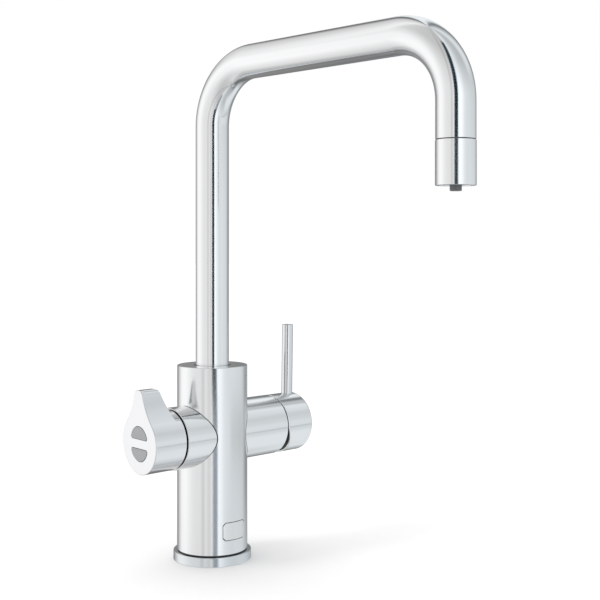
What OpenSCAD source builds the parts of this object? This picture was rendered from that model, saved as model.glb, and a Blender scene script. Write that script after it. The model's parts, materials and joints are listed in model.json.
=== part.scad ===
// Boiling water tap: a swivelling square-arm spout on a round column, a boiling and chilled lever
// with two press buttons on the left, and a single-lever mixer on the right.
// Origin at the centre of the base on the bench; +Z up, the spout points to -Y, the mixer to +X.

/* [Spout] */
// Outside diameter of the spout tube
tube_d = 25; // [22:0.5:28]
// Wall of the spout tube
tube_wall = 1.2; // [0.8:0.1:2]
// Distance from the column's axis to the outlet's axis
reach = 228; // [180:1:280]
// Height of the arm's axis over the bench
arm_z = 368.8; // [340:0.1:420]
// Radius of the spout's two bends, on the tube's axis
bend_r = 45; // [30:1:60]
// Height of the spout tube's lower end inside the column
tube_foot_z = 112; // [110:0.5:116]

/* [Outlet] */
// Outside diameter of the outlet sleeve
sleeve_d = 25.3; // [24:0.1:30]
// Distance from the lower end of the spout's outer bend down to the sleeve's lower rim
outlet_drop = 52; // [46:0.1:80]
// Length of the outlet sleeve
sleeve_len = 27.8; // [24:0.1:34]
// Wall of the outlet sleeve
sleeve_wall = 1.3; // [1:0.1:2]
// Height of the dark seam between sleeve and tube
sleeve_seam = 0.5; // [0.3:0.1:1]
// Height of the lip that keeps the flow ring in
sleeve_lip_h = 1.2; // [0.8:0.1:2]
// Width of the lip that keeps the flow ring in
sleeve_lip_w = 0.9; // [0.5:0.1:1.5]
// Outside diameter of the boiling nozzle
nozzle_d = 7.4; // [6:0.1:9]
// Bore of the boiling nozzle
nozzle_bore = 4; // [2:0.1:5]
// How far the nozzle stands out under the sleeve
nozzle_drop = 3.4; // [1:0.1:6]
// Height of the flow ring
flow_ring_h = 9; // [5:0.5:12]
// Holes in the flow ring
flow_holes = 18; // [8:1:20]
// Diameter of each hole in the flow ring
flow_hole_d = 1.6; // [1:0.1:2]
// Thickness of the manifold's floor
manifold_floor = 6; // [4:0.5:8]
// Height of the manifold's rim over its floor
manifold_rim = 20; // [8:0.5:24]
// Wall of the manifold's rim
manifold_wall = 1.8; // [1:0.1:2.5]
// Depth that a water tube goes into the manifold
tube_socket = 3; // [2:0.5:4]
// Diameter of the manifold's links from the water tubes to the nozzle
link_d = 1.2; // [0.6:0.1:1.4]

/* [Water tubes] */
// Outside diameter of the boiling and the chilled tube
water_tube_d = 5; // [4:0.1:5.4]
// Bore of the boiling and the chilled tube
water_tube_bore = 3.2; // [2:0.1:3.6]
// Distance from the spout's axis to each water tube
water_tube_x = 2.9; // [2.8:0.1:3.4]
// Height of the water tubes' lower ends over the bench
water_tube_foot = 3.6; // [3.2:0.1:8]
// Outside diameter of each water tube's drawn-down tail
tail_d = 4.4; // [3.8:0.1:4.6]
// Length of each water tube's tail
tail_len = 12; // [8:1:18]
// Thickness of the collet round each water tube
collet_wall = 0.3; // [0.2:0.05:0.35]
// Height of the collet round each water tube
collet_h = 3; // [2:0.5:5]

/* [Column] */
// Outside diameter of the column
column_d = 52.8; // [50:0.2:60]
// Height of the column's top over the bench
column_top = 145.1; // [140:0.1:160]
// Wall of the column shell
shell_wall = 3.4; // [2:0.1:4]
// Thickness of the column's closed top
shell_cap = 4; // [3:0.5:6]
// Radius of the turned pieces' outer edges
edge_r = 0.5; // [0.2:0.1:0.8]
// Outside diameter of the base flange
flange_d = 58.3; // [56:0.1:70]
// Height of the base flange
flange_h = 6.8; // [5:0.1:12]
// Chamfer on the flange's upper edge
flange_chamfer = 0.5; // [0.2:0.1:1]
// Thickness of the flange's web under the base block
flange_web = 3; // [2:0.5:4]
// Bore of the flange, over the hole in the bench
passage_d = 37; // [35:0.5:40]
// Height of the dark ring between flange and column
seam_ring_h = 0.8; // [0.4:0.1:1.5]
// How far the dark ring stands back from the column's surface
seam_ring_inset = 0.7; // [0.3:0.1:1.5]
// Width of the bench gasket
gasket_w = 6; // [4:0.5:7]
// Thickness of the bench gasket
gasket_h = 1.4; // [1:0.1:2]
// Wall between the gasket's groove and the flange's bore
gasket_land = 2.2; // [1.5:0.1:3]

/* [Badge] */
// Width of the bare badge plate
badge_w = 20.6; // [14:0.2:26]
// Height of the bare badge plate
badge_h = 12.8; // [8:0.2:18]
// Height of the plate's middle over the bench
badge_z = 24.6; // [20:0.1:40]
// Depth of the plate's pocket in the shell
badge_depth = 0.7; // [0.4:0.1:1]
// Size of the plate's cut corners
badge_cut = 2; // [0.5:0.1:4]
// Gap round the plate in its pocket
badge_gap = 0.3; // [0.1:0.05:0.5]

/* [Base block and core] */
// Height of the base block
block_h = 21; // [18:0.5:24]
// Distance of the hot and cold ports from the column's middle plane, to the right
port_x = 10.8; // [10.5:0.1:12]
// Distance of the hot and cold ports from the middle plane, to the back and front
port_y = 6.2; // [5.2:0.1:7]
// Thread core diameter of the hot and cold ports
port_d = 9; // [7:0.1:9.4]
// Depth of the hot and cold ports' thread
port_depth = 12; // [8:0.5:14]
// Thread core diameter of the socket for the fixing stud
stud_d = 6.8; // [5:0.1:7]
// Depth of the stud socket's thread
stud_depth = 14; // [10:0.5:16]
// Distance of the stud socket from the column's axis
stud_x = 13; // [12.5:0.1:15]
// Diameter of the hot and cold channels
channel_d = 6; // [4:0.2:6.4]
// Diameter of the passage for the water tubes
tube_passage_d = 14; // [12:0.2:14.4]
// Diameter of the block screws
block_screw_d = 4; // [3:0.5:5]
// Length of the block screws under their heads
block_screw_len = 30; // [24:1:40]
// Distance of the block screws from the column's axis
block_screw_y = 17.5; // [16:0.1:18.5]
// Thickness of the channel seals
channel_seal_h = 1.2; // [0.8:0.1:2]
// Width of the channel seals' rubber
channel_seal_w = 1.1; // [0.8:0.1:1.3]

/* [Spout bearing] */
// Bore of the core for the spout's spigot
socket_d = 28; // [27:0.2:32]
// Height of the spigot on the spout's foot
spigot_h = 19; // [17:0.5:20]
// Height of the chamber for mixed water under the spigot
chamber_h = 15; // [12:0.5:15]
// Diameter of the chamber for mixed water
chamber_d = 24; // [20:0.5:26]
// Diameter of the gland that closes the chamber's floor
gland_d = 17.4; // [15:0.2:17.8]
// Height of the gland
gland_h = 5.6; // [5:0.1:5.6]
// Height of the glide ring at the column's top
glide_ring_h = 11.5; // [8:0.5:12]
// How far the glide ring stands back under the column's top
glide_ring_inset = 0.3; // [0.1:0.1:1]
// Height of the groove for the stop screw
stop_groove_h = 4.4; // [3.6:0.1:5]
// Depth of the groove for the stop screw
stop_groove_depth = 1; // [0.6:0.1:1.2]
// Diameter of the stop screw
stop_screw_d = 5; // [4:0.5:6]
// Diameter of the stop screw's tip
stop_tip_d = 3.6; // [2.5:0.1:4]
// Swing of the spout to each side
swing = 90; // [30:5:120]
// Height of each sealing ring
o_ring_h = 2.2; // [1.6:0.1:2.4]
// Depth of each sealing ring's groove
o_ring_depth = 1; // [0.8:0.1:1.2]

/* [Side arms] */
// Height of the levers' common axis over the bench
side_z = 93.6; // [90:0.1:98]
// Outside diameter of the collar, the mixer's sleeve and its head
side_d = 45.8; // [43:0.2:48]

/* [Collar] */
// Distance of the collar's outer face from the column's axis
collar_x = 41.3; // [38:0.1:46]
// Thickness of the dark gasket between collar and column
saddle_gasket = 0.8; // [0.3:0.1:1.2]
// How far the gasket stands back from the collar's surface
saddle_inset = 0.3; // [0.1:0.1:1]
// Diameter of the collar's recess
collar_recess_d = 36; // [32:0.5:38]
// Depth of the collar's recess
collar_recess = 11; // [9:0.5:11.5]
// Thread diameter of the hollow stud that holds the collar
nipple_d = 16; // [14:0.5:17]
// Bore of the hollow stud
nipple_bore = 11; // [10:0.5:12]
// Diameter of the hollow stud's flange
nipple_flange_d = 22; // [19:0.5:23]
// Thickness of the hollow stud's flange
nipple_flange_h = 2.4; // [1.5:0.1:3]
// Distance of the hollow stud's inner end from the column's axis
nipple_end_x = 17.2; // [16.6:0.1:18]
// Diameter of the lever's shaft
shaft_d = 8; // [6:0.5:8.4]
// Diameter of the shaft clip
shaft_clip_d = 11; // [9.5:0.5:13]
// Thickness of the shaft clip
shaft_clip_h = 0.8; // [0.5:0.1:0.9]
// Thickness of the bush's flange
bush_flange_h = 1.2; // [0.8:0.1:2]
// Diameter of the bush's flange
bush_flange_d = 15; // [13:0.5:18]
// Diameter of the return spring's wire
spring_wire_d = 1.2; // [0.8:0.1:1.4]
// Diameter of the return spring on its wire's middle
spring_d = 27; // [25:0.5:30]
// Turns of the return spring
spring_turns = 3; // [2:1:3]
// Thickness of the circuit boards
board_h = 1.6; // [1:0.1:2]
// Thickness of the collar's dark cover
collar_cover_h = 1.2; // [0.8:0.1:1.5]
// Diameter of the sensor cable
sensor_cable_d = 2.4; // [1.5:0.1:2.6]
// Distance of the sensor cable behind the levers' axis
sensor_cable_y = 12; // [11.8:0.1:12.2]
// Distance of the sensor cable under the levers' axis
sensor_cable_drop = 10.7; // [10.4:0.1:11]
// Distance of the cable's upright run from the column's middle plane, to the left
sensor_cable_x = 10.5; // [10:0.1:11]

/* [Lever] */
// Gap between collar and lever
lever_gap = 1.1; // [0.5:0.1:2]
// Distance of the lever's face from the column's axis, at the lever's own axis
lever_face_x = 68.3; // [64:0.1:76]
// Diameter of the lever's round part
lever_d = 44.2; // [42:0.2:46]
// Height of the lever's tip over its axis
lever_tip_z = 38.4; // [35:0.2:46]
// Half width of the tip
lever_tip_w = 5.4; // [4.8:0.1:7]
// Radius of the tip's corners
lever_tip_r = 4.4; // [2:0.1:4.6]
// Radius of the hollow flanks
lever_flank_r = 52; // [40:1:120]
// Angle of the face to the shaft's plane
lever_face_turn = 5; // [0:0.5:6]
// Angle by which the face's top stands further out than its bottom
lever_face_tip = 1.5; // [0:0.5:3]
// Angle that the lever leans back at rest
lever_lean = 0; // [0:0.5:6]
// Angle of the fin's back to the vertical
fin_angle = 17; // [12:0.5:20]
// Distance from the lever's rear face to the foot of the fin's back
fin_foot = 6.8; // [5:0.1:8]
// Radius of the fin's upper back corner
fin_corner_r = 3.1; // [2:0.1:4]
// Thickness of the lever's face
lever_face_wall = 2.6; // [2:0.1:3.5]
// Diameter of the hollow in the lever
lever_hollow_d = 38; // [36:0.5:39]
// Thickness of the hub plate that closes the lever
hub_plate_h = 6; // [4:0.5:7]
// Diameter of the hub's boss
hub_boss_d = 15; // [13:0.5:18]
// Diameter of the lever's grub screw
lever_grub_d = 4; // [3:0.5:5]
// Diameter of the sensor magnet
magnet_d = 4; // [3:0.5:6]
// Thickness of the sensor magnet
magnet_h = 2; // [1:0.1:3]
// Distance of the magnet from the shaft
magnet_r = 13; // [11:0.5:15]

/* [Buttons] */
// Width of each button
button_w = 21.4; // [16:0.2:24]
// Height of each button
button_h = 8.9; // [7:0.1:10]
// Gap between the two buttons' flat sides
button_split = 7.1; // [5:0.1:9]
// Radius of the buttons' corners
button_corner_r = 1.4; // [0.6:0.1:2]
// Gap round a button in the lever's face
button_gap = 0.3; // [0.2:0.05:0.4]
// How far a button stands out of the face
button_proud = 0.4; // [0:0.1:1]
// Width of the rim that keeps a button in
button_rim_w = 0.8; // [0.5:0.1:1]
// Thickness of the rim that keeps a button in
button_rim_h = 0.8; // [0.5:0.1:1]
// Travel of a button
button_travel = 0.8; // [0.3:0.1:1]
// Thickness of the membrane under the buttons
membrane_h = 0.7; // [0.4:0.1:1]
// Diameter of a switch under a button
switch_d = 6; // [4:0.5:7]
// Height of a switch under a button
switch_h = 1.2; // [0.8:0.1:1.5]

/* [Mixer] */
// Distance of the sleeve's outer end from the column's axis
mixer_sleeve_x = 58; // [56:0.1:64]
// Wall of the sleeve round the cartridge housing
mixer_wall = 2.6; // [2:0.1:2.8]
// Gap between sleeve and head
head_gap = 0.8; // [0.5:0.1:1.5]
// Distance of the head's outer end from the column's axis
head_x = 85.5; // [82:0.1:94]
// Radius of the head's outer edge
head_edge_r = 2.5; // [1:0.1:4]
// Angle of the wedge cut under the head
wedge_angle = 18.5; // [10:0.5:20]
// How far under the axis the wedge cut begins
wedge_start = 1; // [0.5:0.5:3]
// Distance of the tilt's pivot from the column's axis
tilt_x = 52; // [50:0.1:53]
// Tilt that opens the water
tilt = 17; // [8:0.5:17]
// Radius of the black dome over the cartridge
dome_r = 16; // [15:0.1:17]
// Gap between the dome and the head
dome_gap = 1.2; // [0.6:0.1:2]
// Wall of the head round its black liner
head_wall = 1; // [0.8:0.1:1.4]
// Distance of the liner's outer end from the column's axis
liner_end_x = 66; // [64:0.5:68]
// How far the liner stands back from the wedge cut
liner_inset = 0.3; // [0.1:0.1:0.6]
// Diameter of the pin lever
pin_d = 8.8; // [7:0.1:10]
// Distance of the pin lever from the column's axis, on the head's surface
pin_x = 78.5; // [76:0.1:79]
// Height of the pin lever's top over the bench
pin_top = 171.4; // [150:0.1:200]
// Depth of the pin lever in the head
pin_depth = 9; // [6:0.5:11]
// Angle that the pin lever leans outwards
pin_lean = 1; // [0:0.5:3]
// Diameter of the head's grub screw
head_grub_d = 5; // [4:0.5:6]
// Thickness of the plug over the grub screw
grub_plug_h = 1.6; // [1:0.1:2.5]

/* [Cartridge] */
// Diameter of the housing's spigot in the core
housing_spigot_d = 27.8; // [25:0.2:28]
// Diameter of the cartridge
cartridge_d = 35; // [33:0.5:35.5]
// Wall of the cartridge
cartridge_wall = 3.5; // [2.5:0.1:3.6]
// Thickness of the cartridge's floor
cartridge_floor = 4; // [3:0.5:5]
// Distance of the cartridge's floor from the column's axis
cartridge_x = 32; // [31:0.1:33]
// Distance of the nut's inner face from the column's axis
nut_x = 49.8; // [48:0.1:51]
// Distance of the nut's outer face from the column's axis
nut_end_x = 56.9; // [56.5:0.1:57]
// Thread diameter of the nut
nut_d = 37.2; // [36.5:0.1:38]
// Bore of the nut
nut_bore = 26; // [24:0.5:27]
// Thickness of the black ring over the nut
nut_cover_h = 0.9; // [0.6:0.1:1]
// Diameter of the water ports in the cartridge
cartridge_port_d = 5.2; // [3:0.1:6]
// Distance of the inlet ports from the cartridge's axis, down
inlet_drop = 4.5; // [3.5:0.1:5]
// Distance of the outlet port from the cartridge's axis, up
outlet_rise = 7; // [6:0.1:8]
// Diameter of the fixed ceramic disc
fixed_disc_d = 26.4; // [24:0.2:27.6]
// Diameter of the moving ceramic disc
moving_disc_d = 20.4; // [18:0.2:21]
// Thickness of each ceramic disc
disc_h = 3; // [2:0.1:3.4]
// Width of the square stem
stem_w = 7.9; // [6:0.1:8.5]
// Distance of the stem's outer end from the column's axis
stem_x = 77; // [72:0.1:79]
// Diameter of the stem's tip that drives the disc
stem_tip_d = 3.8; // [3:0.1:4.4]
// Depth that the stem's tip goes into the disc
stem_tip_depth = 1.4; // [0.8:0.1:1.8]
// Diameter of the stem's cross pin
stem_pin_d = 3; // [2:0.1:3.4]

/* [Hidden] */

// Curve fineness
$fn = 96;
// Overrun of every cut
cut = 0.5 * head_gap;
// Clearance of a fixed piece in its seat
fit = 0.05 * head_gap;
// Clearance of a piece that runs in its bearing
run = 0.08 * head_gap;

// Spout, worked out
tube_r = tube_d / 2;
tube_bore_r = tube_r - tube_wall;
outlet_y = -reach;
sleeve_r = sleeve_d / 2;
sleeve_z = arm_z - bend_r - outlet_drop;
sleeve_bore_r = sleeve_r - sleeve_wall;
sleeve_top = sleeve_z + sleeve_len;
rim_r = edge_r / 2;
tube_end_z = sleeve_top + sleeve_seam;
nozzle_r = nozzle_d / 2;
flow_ring_z = sleeve_z + sleeve_lip_h + fit;
manifold_z = flow_ring_z + flow_ring_h + fit;
manifold_r = min(sleeve_bore_r, tube_bore_r) - fit;
manifold_top = manifold_z + manifold_floor + manifold_rim;
water_tube_r = water_tube_d / 2;
water_tube_end = manifold_z + manifold_floor - tube_socket;

// Column, worked out
column_r = column_d / 2;
core_bore_r = column_r - shell_wall;
core_r = core_bore_r - fit;
flange_r = flange_d / 2;
column_foot = flange_h + seam_ring_h;
block_top = flange_web + block_h;
core_foot = block_top + fit;
core_top = column_top - shell_cap - fit;
passage_r = passage_d / 2;
gasket_in = passage_r + gasket_land;
big = 2 * column_d;

// Spout bearing, worked out
socket_r = socket_d / 2;
spigot_r = socket_r - run;
spigot_top = tube_foot_z + spigot_h;
socket_floor = tube_foot_z - o_ring_h;
chamber_floor = socket_floor - chamber_h;
gland_r = gland_d / 2;
gland_z = chamber_floor - gland_h;
glide_top = column_top - glide_ring_inset;
stop_z = tube_foot_z + spigot_h / 2;
stop_tip_r = stop_tip_d / 2;
stop_half_angle = swing + 2 * asin(stop_tip_r / spigot_r);
o_ring_low = tube_foot_z + o_ring_h;
o_ring_high = spigot_top - 2 * o_ring_h;

// Side arms, worked out
side_r = side_d / 2;
recess_floor_x = collar_x - collar_recess;
nipple_r = nipple_d / 2;
bush_x = recess_floor_x + nipple_flange_h;
socket_end_x = nipple_end_x - 3 * shaft_clip_h;
shaft_r = shaft_d / 2;
shaft_end_x = socket_end_x + shaft_clip_h / 2;
spring_pitch = 1.2 * spring_wire_d;
spring_sides = 6;
spring_steps = 14;
sensor_cable_z = side_z - sensor_cable_drop;
cover_x = collar_x - collar_cover_h;
sensor_board_x = cover_x - fit - board_h;
lever_rear_x = collar_x + lever_gap;
lever_r = lever_d / 2;
hub_front_x = lever_rear_x + hub_plate_h;
hollow_r = lever_hollow_d / 2;

// Buttons, worked out in the face's own frame, where depth runs inwards
rim_depth = lever_face_wall + fit + button_rim_h;
membrane_depth = rim_depth + button_travel + button_gap;
switch_depth = membrane_depth + membrane_h + fit;
button_board_depth = switch_depth + switch_h;
boss_end_depth = button_board_depth + board_h;
lever_face_slant = norm([lever_face_turn, lever_face_tip]);
membrane_r = hollow_r - 4 * fit - (membrane_depth + membrane_h) * sin(lever_face_slant);
button_board_r = hollow_r - 4 * fit - boss_end_depth * sin(lever_face_slant);
button_arc_r = (button_w * button_w / 4 + button_h * button_h) / (2 * button_h);
boss_end_x = lever_face_x - boss_end_depth * cos(lever_face_slant)
    - hub_boss_d / 2 * sin(lever_face_slant);

// Lever outline, worked out: each flank is an arc that leaves the round part and the tip's corner smoothly
tip_corner_y = lever_tip_w - lever_tip_r;
tip_corner_z = lever_tip_z - lever_tip_r;
tip_dist = norm([tip_corner_y, tip_corner_z]);
flank_sum = lever_r + lever_flank_r;
flank_tip_sum = lever_tip_r + lever_flank_r;
flank_along = (flank_sum * flank_sum - flank_tip_sum * flank_tip_sum + tip_dist * tip_dist)
    / (2 * tip_dist);
flank_across = sqrt(flank_sum * flank_sum - flank_along * flank_along);
flank_y = (flank_along * tip_corner_y + flank_across * tip_corner_z) / tip_dist;
flank_z = (flank_along * tip_corner_z - flank_across * tip_corner_y) / tip_dist;
flank_foot_y = lever_r * flank_y / flank_sum;
flank_foot_z = lever_r * flank_z / flank_sum;
flank_end_y = tip_corner_y + lever_tip_r * (flank_y - tip_corner_y) / flank_tip_sum;
flank_end_z = tip_corner_z + lever_tip_r * (flank_z - tip_corner_z) / flank_tip_sum;
// Fin's back, worked out: a line through the foot, and the corner's circle against it and the top
fin_foot_x = -lever_rear_x - fin_foot;
fin_line = fin_foot_x * cos(fin_angle) + lever_r * sin(fin_angle);
fin_corner_z = lever_tip_z - fin_corner_r;
fin_corner_x = (fin_line - fin_corner_r - fin_corner_z * sin(fin_angle)) / cos(fin_angle);

// Mixer, worked out
housing_r = side_r - mixer_wall - fit;
housing_x = column_r + fit;
cartridge_r = cartridge_d / 2;
cartridge_bore_r = cartridge_r - cartridge_wall;
fixed_disc_x = cartridge_x + cartridge_floor + fit;
moving_disc_x = fixed_disc_x + disc_h + fit;
moving_disc_end = moving_disc_x + disc_h;
disc_slide = (tilt_x - moving_disc_end) * sin(tilt);
carrier_x = moving_disc_end + fit;
carrier_r = cartridge_bore_r - run;
carrier_neck_r = nut_bore / 2 - run;
carrier_throat_r = stem_tip_d / 2 + disc_slide + cut;
stem_corner_r = norm([stem_w, stem_w]) / 2;
nut_r = nut_d / 2;
dome_foot_x = mixer_sleeve_x - fit;
head_foot_x = mixer_sleeve_x + head_gap;
head_hollow_r = dome_r + dome_gap;
liner_r = side_r - head_wall;
slot_low = (dome_r + dome_gap) * sin(tilt) + stem_w / 2 + head_gap;
slot_high = stem_corner_r + cut;
stem_tip_r = stem_tip_d / 2;
head_grub_x = tilt_x + head_hollow_r + head_grub_d;
pin_r = pin_d / 2;

// A rod or ring along Z, or along the side arms' axis, between two places
module rod_z(r, z1, z2) translate([0, 0, z1]) cylinder(r = r, h = z2 - z1);
module ring_z(ro, ri, z1, z2) difference() {
    rod_z(ro, z1, z2);
    rod_z(ri, z1 - cut, z2 + cut);
}
module rod_x(r, x1, x2) translate([x1, 0, side_z]) rotate([0, 90, 0]) cylinder(r = r, h = x2 - x1);
module ring_x(ro, ri, x1, x2) difference() {
    rod_x(ro, x1, x2);
    rod_x(ri, x1 - cut, x2 + cut);
}

// A turned bar in section along Y, with its outer edges round at the foot and at the end, and as a
// solid along Z or along the side arms' axis
module turned_2d(r, h, foot_r, end_r) {
    translate([0, foot_r]) square([r, h - foot_r - end_r]);
    if (foot_r > 0) {
        square([r - foot_r, 2 * foot_r]);
        translate([r - foot_r, foot_r]) circle(r = foot_r);
    }
    if (end_r > 0) {
        translate([0, h - 2 * end_r]) square([r - end_r, 2 * end_r]);
        translate([r - end_r, h - end_r]) circle(r = end_r);
    }
}
module turned_z(r, z1, z2, foot_r, end_r) translate([0, 0, z1]) rotate_extrude()
    turned_2d(r, z2 - z1, foot_r, end_r);
module turned_x(r, x1, x2, foot_r, end_r) translate([x1, 0, side_z]) rotate([0, 90, 0]) rotate_extrude()
    turned_2d(r, x2 - x1, foot_r, end_r);

// A ring in section
module ring_2d(ro, ri) difference() {
    circle(r = ro);
    circle(r = ri);
}

// A pipe that follows the spout's path from height z1 in the riser to z2 over the outlet
module spout_path(ro, ri, z1, z2) {
    translate([0, 0, z1]) linear_extrude(arm_z - bend_r - z1) ring_2d(ro, ri);
    translate([0, -bend_r, arm_z - bend_r]) rotate([90, 0, 90])
        rotate_extrude(angle = 90) translate([bend_r, 0]) ring_2d(ro, ri);
    translate([0, -bend_r, arm_z]) rotate([90, 0, 0]) linear_extrude(reach - 2 * bend_r) ring_2d(ro, ri);
    translate([0, bend_r - reach, arm_z - bend_r]) rotate([90, 0, 90]) rotate([0, 0, 90])
        rotate_extrude(angle = 90) translate([bend_r, 0]) ring_2d(ro, ri);
    translate([0, outlet_y, z2]) linear_extrude(arm_z - bend_r - z2) ring_2d(ro, ri);
}

// The lever's own frame, leaning back, and the frame of its face, with depth running inwards
module lever_frame() translate([0, 0, side_z]) rotate([-lever_lean, 0, 0]) children();
module face_frame() lever_frame() translate([-lever_face_x, 0, 0]) rotate([0, 0, -lever_face_turn])
    rotate([90, 0, -90]) rotate([lever_face_tip, 0, 0]) children();
module face_disc(r, depth, h) face_frame() translate([0, 0, -depth - h]) cylinder(r = r, h = h);

// A button's outline: flat on one side and arched on the other, with round lower corners
module button_2d(grow) {
    arc_r = button_arc_r + grow;
    corner_r = button_corner_r + grow;
    corner_y = button_split / 2 + button_corner_r;
    arc_y = button_split / 2 + button_h - button_arc_r;
    corner_x = sqrt(pow(button_arc_r - button_corner_r, 2) - pow(corner_y - arc_y, 2));
    difference() {
        translate([0, arc_y]) circle(r = arc_r);
        translate([-big, corner_y - big]) square([2 * big, big]);
    }
    translate([-corner_x, corner_y - corner_r]) square([2 * corner_x, 2 * corner_r]);
    for (side = [-1, 1]) translate([side * corner_x, corner_y]) circle(r = corner_r);
}

module button(turn) color("darkgray") face_frame() rotate([0, 0, turn]) {
    translate([0, 0, -lever_face_wall - fit]) linear_extrude(lever_face_wall + fit + button_proud)
        button_2d(0);
    translate([0, 0, -rim_depth]) linear_extrude(button_rim_h) button_2d(button_rim_w);
}

module button_window(turn) face_frame() rotate([0, 0, turn]) {
    translate([0, 0, -big]) linear_extrude(big + cut) button_2d(button_gap);
}

// The ports' places in the cartridge's floor, as depth towards the back and height over the axis
PORTS = [[port_y, -inlet_drop], [-port_y, -inlet_drop], [0, outlet_rise]];
module at_ports() for (p = PORTS) translate([0, p[0], p[1]]) children();

// Base
module base_flange() color("silver") difference() {
    rotate_extrude() polygon([[passage_r, 0], [flange_r, 0], [flange_r, flange_h - flange_chamfer],
        [flange_r - flange_chamfer, flange_h], [core_bore_r, flange_h], [core_bore_r, flange_web],
        [passage_r, flange_web]]);
    ring_z(gasket_in + gasket_w + fit, gasket_in - fit, -cut, gasket_h + fit);
}

module bench_gasket() color("dimgray") ring_z(gasket_in + gasket_w, gasket_in, 0, gasket_h);

module seam_ring() color("black") ring_z(column_r - seam_ring_inset, core_bore_r, flange_h, column_foot);

module block_ports(z1, depth, d) for (side = [-1, 1]) translate([port_x, side * port_y, z1])
    cylinder(d = d, h = depth);

module base_block() color("goldenrod") difference() {
    rod_z(core_r, flange_web, block_top);
    sensor_way(sensor_cable_d / 2 + 2 * fit, 0);
    rod_z(tube_passage_d / 2, flange_web - cut, block_top + cut);
    block_ports(flange_web - cut, port_depth + cut, port_d);
    block_ports(flange_web, block_h + cut, channel_d);
    translate([-stud_x, 0, flange_web - cut]) cylinder(d = stud_d, h = stud_depth + cut);
    for (side = [-1, 1]) translate([0, side * block_screw_y, flange_web - cut]) {
        cylinder(d = block_screw_d + fit, h = block_h + 2 * cut);
        cylinder(d = 2 * block_screw_d, h = block_screw_d + cut);
    }
}

module block_screws() color("gray") for (side = [-1, 1]) translate([0, side * block_screw_y, flange_web])
    difference() {
        union() {
            cylinder(d = 2 * block_screw_d - 2 * fit, h = block_screw_d - fit);
            cylinder(d = block_screw_d - fit, h = block_screw_d + block_screw_len);
        }
        translate([0, 0, -cut]) cylinder(d = block_screw_d, h = block_screw_d / 2 + cut, $fn = 6);
    }

module channel_seals() color("dimgray") for (side = [-1, 1]) translate([port_x, side * port_y, core_foot])
    difference() {
        cylinder(r = channel_d / 2 + channel_seal_w, h = channel_seal_h);
        translate([0, 0, -cut]) cylinder(d = channel_d, h = channel_seal_h + 2 * cut);
    }

// Column
module badge_2d(grow) {
    w = badge_w / 2 + grow;
    h = badge_h / 2 + grow;
    polygon([[-w, badge_cut - h], [badge_cut - w, -h], [w - badge_cut, -h], [w, badge_cut - h],
        [w, h - badge_cut], [w - badge_cut, h], [badge_cut - w, h], [-w, h - badge_cut]]);
}

module badge_block(grow, r_in, r_out) intersection() {
    ring_z(r_out, r_in, badge_z - badge_h, badge_z + badge_h);
    translate([0, 0, badge_z]) rotate([90, 0, 0]) linear_extrude(big) badge_2d(grow);
}

module badge_plate() color("silver") badge_block(0, column_r - badge_depth + fit, column_r);

module stop_hole(d) translate([0, 0, stop_z]) rotate([-90, 0, 0]) cylinder(d = d, h = big);

module column_shell() color("silver") difference() {
    turned_z(column_r, column_foot, column_top, edge_r, edge_r);
    rod_z(core_bore_r, column_foot - cut, column_top - shell_cap);
    rod_z(socket_r, 0, column_top + cut);
    rod_x(nipple_r + fit, -big, 0);
    rod_x(housing_spigot_d / 2 + fit, 0, big);
    stop_hole(stop_screw_d + fit);
    badge_block(badge_gap, column_r - badge_depth, column_r + cut);
    sensor_way(sensor_cable_d / 2 + 2 * fit, 0);
}

module valve_core() color("goldenrod") difference() {
    rod_z(core_r, core_foot, core_top);
    rod_z(tube_passage_d / 2, 0, chamber_floor);
    rod_z(gland_r, gland_z - fit, chamber_floor + cut);
    rod_z(chamber_d / 2, chamber_floor, socket_floor + cut);
    rod_z(socket_r, socket_floor, core_top + cut);
    block_ports(0, side_z - inlet_drop, channel_d);
    block_ports(core_foot - cut, channel_seal_h + fit + cut, channel_d + 2 * channel_seal_w + 2 * fit);
    for (side = [-1, 1]) translate([port_x, side * port_y, side_z - inlet_drop]) rotate([0, 90, 0])
        cylinder(d = cartridge_port_d, h = big);
    translate([0, 0, side_z + outlet_rise]) rotate([0, 90, 0]) cylinder(d = cartridge_port_d, h = big);
    rod_x(nipple_r + fit, -big, -socket_end_x);
    rod_x(housing_spigot_d / 2 + fit, nipple_end_x, big);
    stop_hole(stop_screw_d + fit);
    for (side = [-1, 1]) translate([0, side * block_screw_y, 0])
        cylinder(d = block_screw_d, h = flange_web + block_screw_d + block_screw_len + fit);
    sensor_way(sensor_cable_d / 2 + 2 * fit, 0);
}

module glide_ring() color("dimgray")
    ring_z(socket_r - fit, tube_r + run, glide_top - glide_ring_h, glide_top);

module stop_screw() color("gray") difference() {
    union() {
        translate([0, spigot_r, stop_z]) rotate([-90, 0, 0])
            cylinder(d = stop_screw_d - fit, h = column_r - spigot_r - stop_groove_depth);
        translate([0, spigot_r - stop_groove_depth / 2, stop_z]) rotate([-90, 0, 0])
            cylinder(d = stop_tip_d, h = stop_groove_depth);
    }
    translate([0, column_r - 2 * stop_groove_depth - stop_tip_r, stop_z]) rotate([-90, 0, 0])
        cylinder(d = stop_screw_d / 2, h = big, $fn = 6);
}

// Spout
module spout_tube() color("silver") spout_path(tube_r, tube_bore_r, tube_foot_z, tube_end_z);

module spout_spigot() color("goldenrod") difference() {
    ring_z(spigot_r, tube_r, tube_foot_z, spigot_top);
    for (z = [o_ring_low, o_ring_high]) ring_z(spigot_r + cut, spigot_r - o_ring_depth, z, z + o_ring_h);
    translate([0, 0, stop_z - stop_groove_h / 2]) rotate([0, 0, 90 - stop_half_angle])
        rotate_extrude(angle = 2 * stop_half_angle) translate([spigot_r - stop_groove_depth, 0])
            square([stop_groove_depth + cut, stop_groove_h]);
}

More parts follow.
